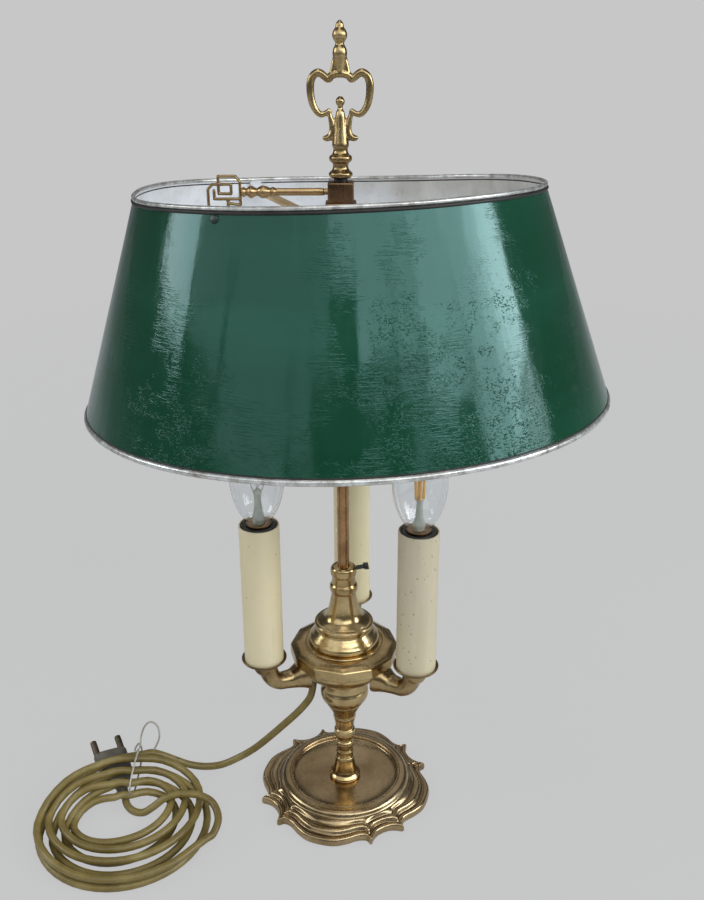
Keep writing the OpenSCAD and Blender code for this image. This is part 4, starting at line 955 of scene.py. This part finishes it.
SPIDER_Z = 413.5
SHADE_LOW = 314.3
SHADE_TOP = 435.5
TOP_R = 119.6
BOTTOM_R = 159.6
WALL = 0.8
SHADE_SIDES = 288
LEAN = Matrix.Translation((0, 0, SPIDER_Z)) @ Matrix.Rotation(
    rad(2.85), 4, Vector((-sind(126.5), cosd(126.5), 0))) @ Matrix.Translation((0, 0, -SPIDER_Z))


def shade_r(z):
    return BOTTOM_R + (TOP_R - BOTTOM_R) * (z - SHADE_LOW) / (SHADE_TOP - SHADE_LOW)


def dent(a, z):
    """Slight handmade unevenness of the wall, in millimetres."""
    place = Vector(polar(2.2, a, z * 0.014))
    return 0.35 * noise.noise(place) + 0.12 * noise.noise(place * 3.1)


def hump(a, middle, half):
    off = abs((math.degrees(a) - middle + 180) % 360 - 180)
    return 0 if off > half else (1 + cosd(180 * off / half)) / 2


def warp(a, z):
    """Bent edge of the old sheet: low at the back, high at the back's left."""
    share = smoothstep(SHADE_TOP - 70, SHADE_TOP, z)
    return share * (2.6 * hump(a, 160, 45) - 3 * hump(a, 74, 62) + 0.5 * hump(a, 320, 60))


def shade_wall():
    rows = 44
    levels = [mix(SHADE_LOW - 0.3, SHADE_TOP + 0.3, i / rows) for i in range(rows + 1)]
    rings = []
    for z, inward in [(z, 0) for z in levels] + [(z, WALL) for z in levels[::-1]]:
        ring = []
        for k in range(SHADE_SIDES):
            a = TAU * k / SHADE_SIDES
            ring.append(polar(shade_r(z) + dent(a, z) - inward, a, z + warp(a, z)))
        rings.append(ring)
    return moved(grid(rings + rings[:1]), LEAN)


shade = piece("shade_wall", shade_wall(), paint, "shade", ("shade",), 60)
shade.data.materials.append(lining)
lean_axis = (LEAN.to_3x3() @ Vector((0, 0, 1))).normalized()
middle = LEAN @ Vector((0, 0, SPIDER_Z)) * MM
for face in shade.data.polygons:
    arm = face.center - middle
    arm -= arm.dot(lean_axis) * lean_axis
    if face.normal.dot(arm) < 0:
        face.material_index = 1


def rim(name, r, z, d, material, replaces=()):
    """Rolled wire rim with a slightly uneven section."""
    rings = []
    for k in range(SHADE_SIDES):
        a = TAU * k / SHADE_SIDES
        wobble = 0.1 * noise.noise(Vector(polar(7, a, z)))
        ring = []
        for j in range(16):
            t = TAU * j / 16
            half = d / 2 + wobble * math.sin(t)
            reach = r + dent(a, z) - WALL / 2 + half * math.cos(t)
            ring.append(polar(reach, a, z + warp(a, z) + half * math.sin(t)))
        rings.append(ring)
    return piece(name, moved(grid(rings + rings[:1]), LEAN), material, "shade", replaces)


rim("rim_upper", TOP_R, SHADE_TOP + 1.4, 2.5, rim_metal, ("shade_top_rim",))
rim("rim_lower", BOTTOM_R, SHADE_LOW - 1.8, 3.6, rim_metal, ("shade_bottom_rim",))
# Dark rings just under the top rim and just above the bottom rim: painted shadow lines where the wire
# meets the paint
rim("rim_upper_shadow_line", TOP_R + 0.7, SHADE_TOP - 0.7, 1.9, painted_shadow_dark)
rim("rim_lower_shadow_line", BOTTOM_R, SHADE_LOW + 0.3, 1, painted_shadow_dark)

STRIP_TURN = 120
RIVET_Z = 432


def rivet_head(k):
    z = RIVET_Z
    slope = math.atan2(BOTTOM_R - TOP_R, SHADE_TOP - SHADE_LOW)
    head = turned([(2.5, 0), (2.5, 0), (2.45, 0.35), (2.1, 0.85), (1.3, 1.15), (0, 1.2)], 0, 1, 4, 24)
    place = (LEAN @ Matrix.Rotation(rad(STRIP_TURN + 120 * k), 4, "Z")
             @ Matrix.Translation((shade_r(z) - 0.1, 0, z))
             @ Matrix.Rotation(math.pi / 2 - slope, 4, "Y"))
    return moved(head, place)


piece("rivet_heads", join(*[rivet_head(k) for k in range(3)]), rivet_paint, "shade",
      ("shade_rivets",))


# Arms and candles

REACH = 59.3
ARM_TURN = -5.6
ARM_Z = 107.7
PAN_Z = 128.2
SLEEVE_Z = 129.4
SLEEVE_TOP = 230.2
HOLDER_Z = 177.7
HOLDER_TOP = 229.7
CAP_Z = 204.7
GLASS_Z = 231.7
SIDES = {"left": 210, "right": 330, "back": 90}


def lift(height):
    return Matrix.Translation((0, 0, height))


def turn_to(side):
    return Matrix.Rotation(rad(SIDES[side] + ARM_TURN), 4, "Z")


def at_candle(side):
    return turn_to(side) @ Matrix.Translation((REACH, 0, 0))


def arm_shape():
    """One cast arm: a wide root on the hub, an elbow, and a boss under the pan."""
    run = smooth([
        (29.5, 1.2, 11.2), (33, 0.8, 9.8), (36.5, 0.2, 8.2), (40, -0.2, 6.9), (44, -0.1, 6.3),
        (48.5, 0.3, 6.1), (52.4, 2.6, 6), (55, 6.2, 6.1), (56.3, 9.8, 6.4), (57.5, 13.2, 7),
        (REACH, 16.5, 7.8), (REACH, PAN_Z - ARM_Z, 8)], 5)
    return sweep([(x, 0, z) for x, z, _ in run], [r for _, _, r in run], 32, (0, 1, 0))


for name in SIDES:
    piece(f"arm_cast_{name}", moved(arm_shape(), turn_to(name) @ lift(ARM_Z)), brass_arm,
          replaces=(f"arm_{name}",))
    dish = shell(
        smooth([(4.1, 0), (4.1, 0), (9, 0), (12.4, 0.05), (14, 0.4), (15, 1.3), (15.2, 2.2),
                (14.9, 2.6)], 4),
        smooth([(4.1, 1.2), (4.1, 1.2), (10, 1.2), (12.8, 1.3), (13.9, 1.9), (14.4, 2.5)], 4))
    piece(f"drip_pan_{name}", moved(dish, at_candle(name) @ lift(PAN_Z)), brass_pan,
          replaces=(f"pan_{name}",))


def sleeve_tube(phase):
    """Card tube whose ends are a little out of true."""
    segments = 72
    rings = []
    rows = [(13.2, 0), (13.2, 0.02), (13.2, 0.5), (13.2, 0.985), (13, 1), (12.3, 1),
            (12, 0.985), (12, 0.5), (12, 0)]
    for r, share in rows:
        ring = []
        for k in range(segments):
            a = TAU * k / segments
            sway = 0.08 * math.sin(2 * a + phase) + 0.05 * math.sin(5 * a + 2 * phase)
            worn = 0.25 * (1 + math.sin(a + phase)) if share > 0.98 else 0
            z = mix(SLEEVE_Z, SLEEVE_TOP, share) - worn
            ring.append(polar(r + sway, a, z))
        rings.append(ring)
    return grid(rings + rings[:1])


CREAMS = {"left": cream_left, "right": cream_right, "back": cream_back}
for number, name in enumerate(SIDES):
    place = at_candle(name)
    piece(f"candle_sleeve_{name}", moved(sleeve_tube(1.7 * number), place), CREAMS[name],
          replaces=(f"sleeve_{name}",), sharp=50)
    body = shell(
        [(6, HOLDER_Z), (11.3, HOLDER_Z)] + smooth([
            (11.3, HOLDER_TOP - 1.2), (11.2, HOLDER_TOP - 0.4), (10.7, HOLDER_TOP)], 4),
        [(4.1, HOLDER_Z), (7.1, CAP_Z + 1)] + smooth([
            (7.1, HOLDER_TOP - 2.5), (7.3, HOLDER_TOP - 1), (8.2, HOLDER_TOP)], 4), 64)
    piece(f"lampholder_{name}", moved(body, place), black,
          replaces=(f"holder_{name}",))
    thread = [(6.7 + 0.28 * math.sin(i * 1.3), 3.4 + i * 0.6) for i in range(34)]
    screw = turned([(1.6, 0), (2.2, 0), (4.4, 1.6), (6.6, 3.2), *thread, (7, 24.3), (7.6, 25.2),
                    (8.3, 26.1), (8.4, 26.8), (7.2, 27)], CAP_Z, 1, 2, 48)
    piece(f"screw_cap_{name}", moved(screw, place), cap_metal,
          replaces=(f"cap_{name}",))

BULB_H = 72
BULB = [
    (8.4, 0), (9, 0.02), (9.6, 0.045), (12.6, 0.12), (15.75, 0.24), (17.3, 0.36), (17.5, 0.43),
    (16.8, 0.55), (13.3, 0.72), (8.05, 0.88), (3.5, 0.97), (1.7, 0.99), (1, 1), (0, 1),
]


def bulb_glass():
    """Thin blown shell with its pip at the tip."""
    outer = [(r, BULB_H * z) for r, z in smooth(BULB, 5)]
    inner = [(max(r - 0.55, 0), z - 0.35 if z > 40 else z) for r, z in outer]
    rings = [circle(r, z, 48) for r, z in outer + inner[::-1]]
    return grid(rings + rings[:1])


def rod_between(a, b, r, sides=10):
    return sweep([a, Vector(a).lerp(Vector(b), 0.5), b], [r] * 3, sides, (0.3, 0.2, 0.1))


def led_parts():
    """Glass stem, four upright strips and the wires that join their ends."""
    low = 20
    high = 50
    stem = turned([(4, -1), (3.9, 3), (2.6, 8), (2, 16), (1.5, 21), (0.4, 22)], 0, 1, 4, 24)
    strips = []
    wires = [rod_between((0, 0, low), (0, 0, high + 2), 0.3)]
    for k in range(4):
        way = rad(45 + 90 * k)
        strips.append(rod_between(polar(2.4, way, low), polar(3.6, way, high), 0.85, 12))
        wires.append(rod_between(polar(2.4, way, low + 0.5), polar(1.2, way, low - 4), 0.25))
        wires.append(rod_between(polar(3.6, way, high - 0.5), (0, 0, high + 2), 0.25))
    return stem, join(*strips), join(*wires)


def hoop_parts():
    """Glass stem with a bridge of supports and a thin zigzag wire, unlit."""
    stem = turned([(4, -1), (3.9, 3), (2.8, 9), (2.2, 16), (2.6, 19), (2.4, 22), (0.5, 23.5)],
                  0, 1, 4, 24)
    wires = []
    for side in (-1, 1):
        hoop = [(1.2, 0, 12), (2.4, 0.4, 20), (4.8, 0.8, 28), (6.2, 0.5, 36)]
        wires.append(sweep(smooth([(side * x, y, z) for x, y, z in hoop], 5),
                           [0.35] * 16, 8, (0, 1, 0)))
    for k in range(3):
        wires.append(rod_between((0, 0, 22), ((k - 1) * 3.4, 1.2, 38), 0.2, 6))
    zigzag = [(-6.2, 0.5, 36), (-3.4, 1.2, 38.6), (0, 1.2, 37.4), (3.4, 1.2, 38.6), (6.2, 0.5, 36)]
    wires.append(sweep(smooth(zigzag, 4), [0.22] * 17, 6, (0, 1, 0)))
    return stem, join(*wires)


for name in SIDES:
    place = at_candle(name) @ lift(GLASS_Z)
    piece(f"bulb_shell_{name}", moved(bulb_glass(), place), glass,
          replaces=(f"bulb_{name}",), sharp=80)
    if name == "left":
        stem, wires = hoop_parts()
    else:
        stem, strips, wires = led_parts()
        piece(f"led_strips_{name}", moved(strips, place), strip_lit)
    piece(f"bulb_stem_{name}", moved(stem, place), stem_glass,
          replaces=(f"filament_{name}",))
    piece(f"bulb_wires_{name}", moved(wires, place), support)


# Small fittings that keep their CAD shape


def dress(material, *names):
    for node_name in names:
        slots = cad[node_name].data.materials
        slots.clear()
        slots.append(material)


dress(felt, "base_felt")
dress(steel, "base_nut", "tie_rod", "nipple_left", "nipple_right", "nipple_back")
dress(ivory, "terminal_block")
dress(lead, "arm_leads")
dress(black, "cord_gland", "collar_screw")
dress(strip_skin, "spider")
dress(brass_arm, "spider_hub")
dress(brass_rod, "rod")
dress(dark_brass, "ring_nut")


# Floor and light

BACKDROP = (0.571, 0.571, 0.571, 1)
FLOOR_HALF = 30

floor_mesh = bpy.data.meshes.new("floor")
floor_mesh.from_pydata(
    [(x * FLOOR_HALF, y * FLOOR_HALF, 0) for x, y in ((-1, -1), (1, -1), (1, 1), (-1, 1))], [],
    [(0, 1, 2, 3)])
add("floor", floor_mesh)
floor_material, tree, shader = new_material(
    "floor", (("Roughness", 0.9), ("Specular IOR Level", 0)))
paper = ramp(tree, cloud(tree, 6, 3), (0.3, (0.55, 0.55, 0.55)), (0.7, (0.57, 0.57, 0.57)))
tree.links.new(paper, shader.inputs["Base Color"])
glow = put(tree, "Emission", {"Color": BACKDROP, "Strength": 1})
seen = put(tree, "LightPath").outputs["Is Camera Ray"]
reach = put(tree, "VectorMath", {0: position(tree)}, operation="LENGTH").outputs["Value"]
even = ramp(tree, times(tree, reach, 0.4), (0.2, 0.86), (0.8, 1))
share = times(tree, seen, even)
both = put(tree, "MixShader", {0: share, 1: shader.outputs[0], 2: glow.outputs[0]})
tree.links.new(both.outputs[0], tree.nodes["Material Output"].inputs["Surface"])
floor_mesh.materials.append(floor_material)

SKY = (0.8, 0.84, 0.88, 1)
FILL = 0.34
GLOSSY_FILL = 0.1

world = bpy.data.worlds.new("studio")
world.use_nodes = True
scene.world = world
tree = world.node_tree
fill = tree.nodes["Background"]
fill.inputs["Color"].default_value = SKY
fill.inputs["Strength"].default_value = FILL
pale = put(tree, "Background", {"Color": BACKDROP, "Strength": 1})
path_kind = put(tree, "LightPath")
direct = math_node(tree, "MAXIMUM", path_kind.outputs["Is Camera Ray"],
                   path_kind.outputs["Is Transmission Ray"])
dim = put(tree, "Background", {"Color": SKY, "Strength": GLOSSY_FILL})
indirect = put(tree, "MixShader", {
    0: path_kind.outputs["Is Glossy Ray"], 1: fill.outputs[0], 2: dim.outputs[0]})
both = put(tree, "MixShader", {0: direct, 1: indirect.outputs[0], 2: pale.outputs[0]})
tree.links.new(both.outputs[0], tree.nodes["World Output"].inputs["Surface"])

AIM = Vector((0, 0, 0.25))
WINDOW_AWAY = 3


def window(name, start, end, low, high, radiance, colour=(0.89, 0.96, 1)):
    """A soft box that spans those directions and heights, in degrees, seen from the lamp."""
    way = (start + end) / 2
    elevation = (low + high) / 2
    flat = WINDOW_AWAY * cosd(elevation)
    place = AIM + Vector(polar(flat, rad(way), WINDOW_AWAY * sind(elevation)))
    light = bpy.data.lights.new(name, "AREA")
    light.shape = "RECTANGLE"
    light.size = 2 * flat * math.tan(rad((end - start) / 2))
    light.size_y = 2 * WINDOW_AWAY * math.tan(rad((high - low) / 2))
    light.energy = radiance * math.pi * light.size * light.size_y
    light.color = colour
    obj = add(name, light)
    obj.location = place
    obj.rotation_euler = (AIM - place).to_track_quat("-Z", "Y").to_euler()
    obj.visible_camera = False


for pane in (
    ("streak_left", 168, 192, 13.5, 34, 5),
    ("left_edge", 192, 214, 16.5, 42, 1),
    ("left", 214, 245, 13, 42, 1),
    ("left_inner", 245, 255, 17.5, 42, 1),
    ("left_last", 255, 264, 23.5, 42, 1.1),
    ("middle", 264, 274.5, 30.5, 44, 3),
    ("right", 274.5, 294.5, 25, 43, 3),
    ("right_next", 294.5, 306, 23.5, 42, 3.2),
    ("right_patch", 299, 303, 14, 20, 1.6),
    ("side", 306, 327, 20, 40, 4.4),
    ("side_far", 327, 340, 12, 36, 4.8),
    ("end", 340, 346.5, 12, 34, 7),
    ("streak_right", 346.5, 359.5, 14, 32, 10),
    ("end_low", 338, 360, 7, 13, 3.8),
    ("brow", 225, 305, 46, 60, 1.8),
    ("top", 220, 310, 62, 100, 1.7, (1, 0.98, 0.95)),
    ("behind", 55, 125, 26, 58, 0.32, (1, 0.97, 0.93)),
):
    window(*pane)
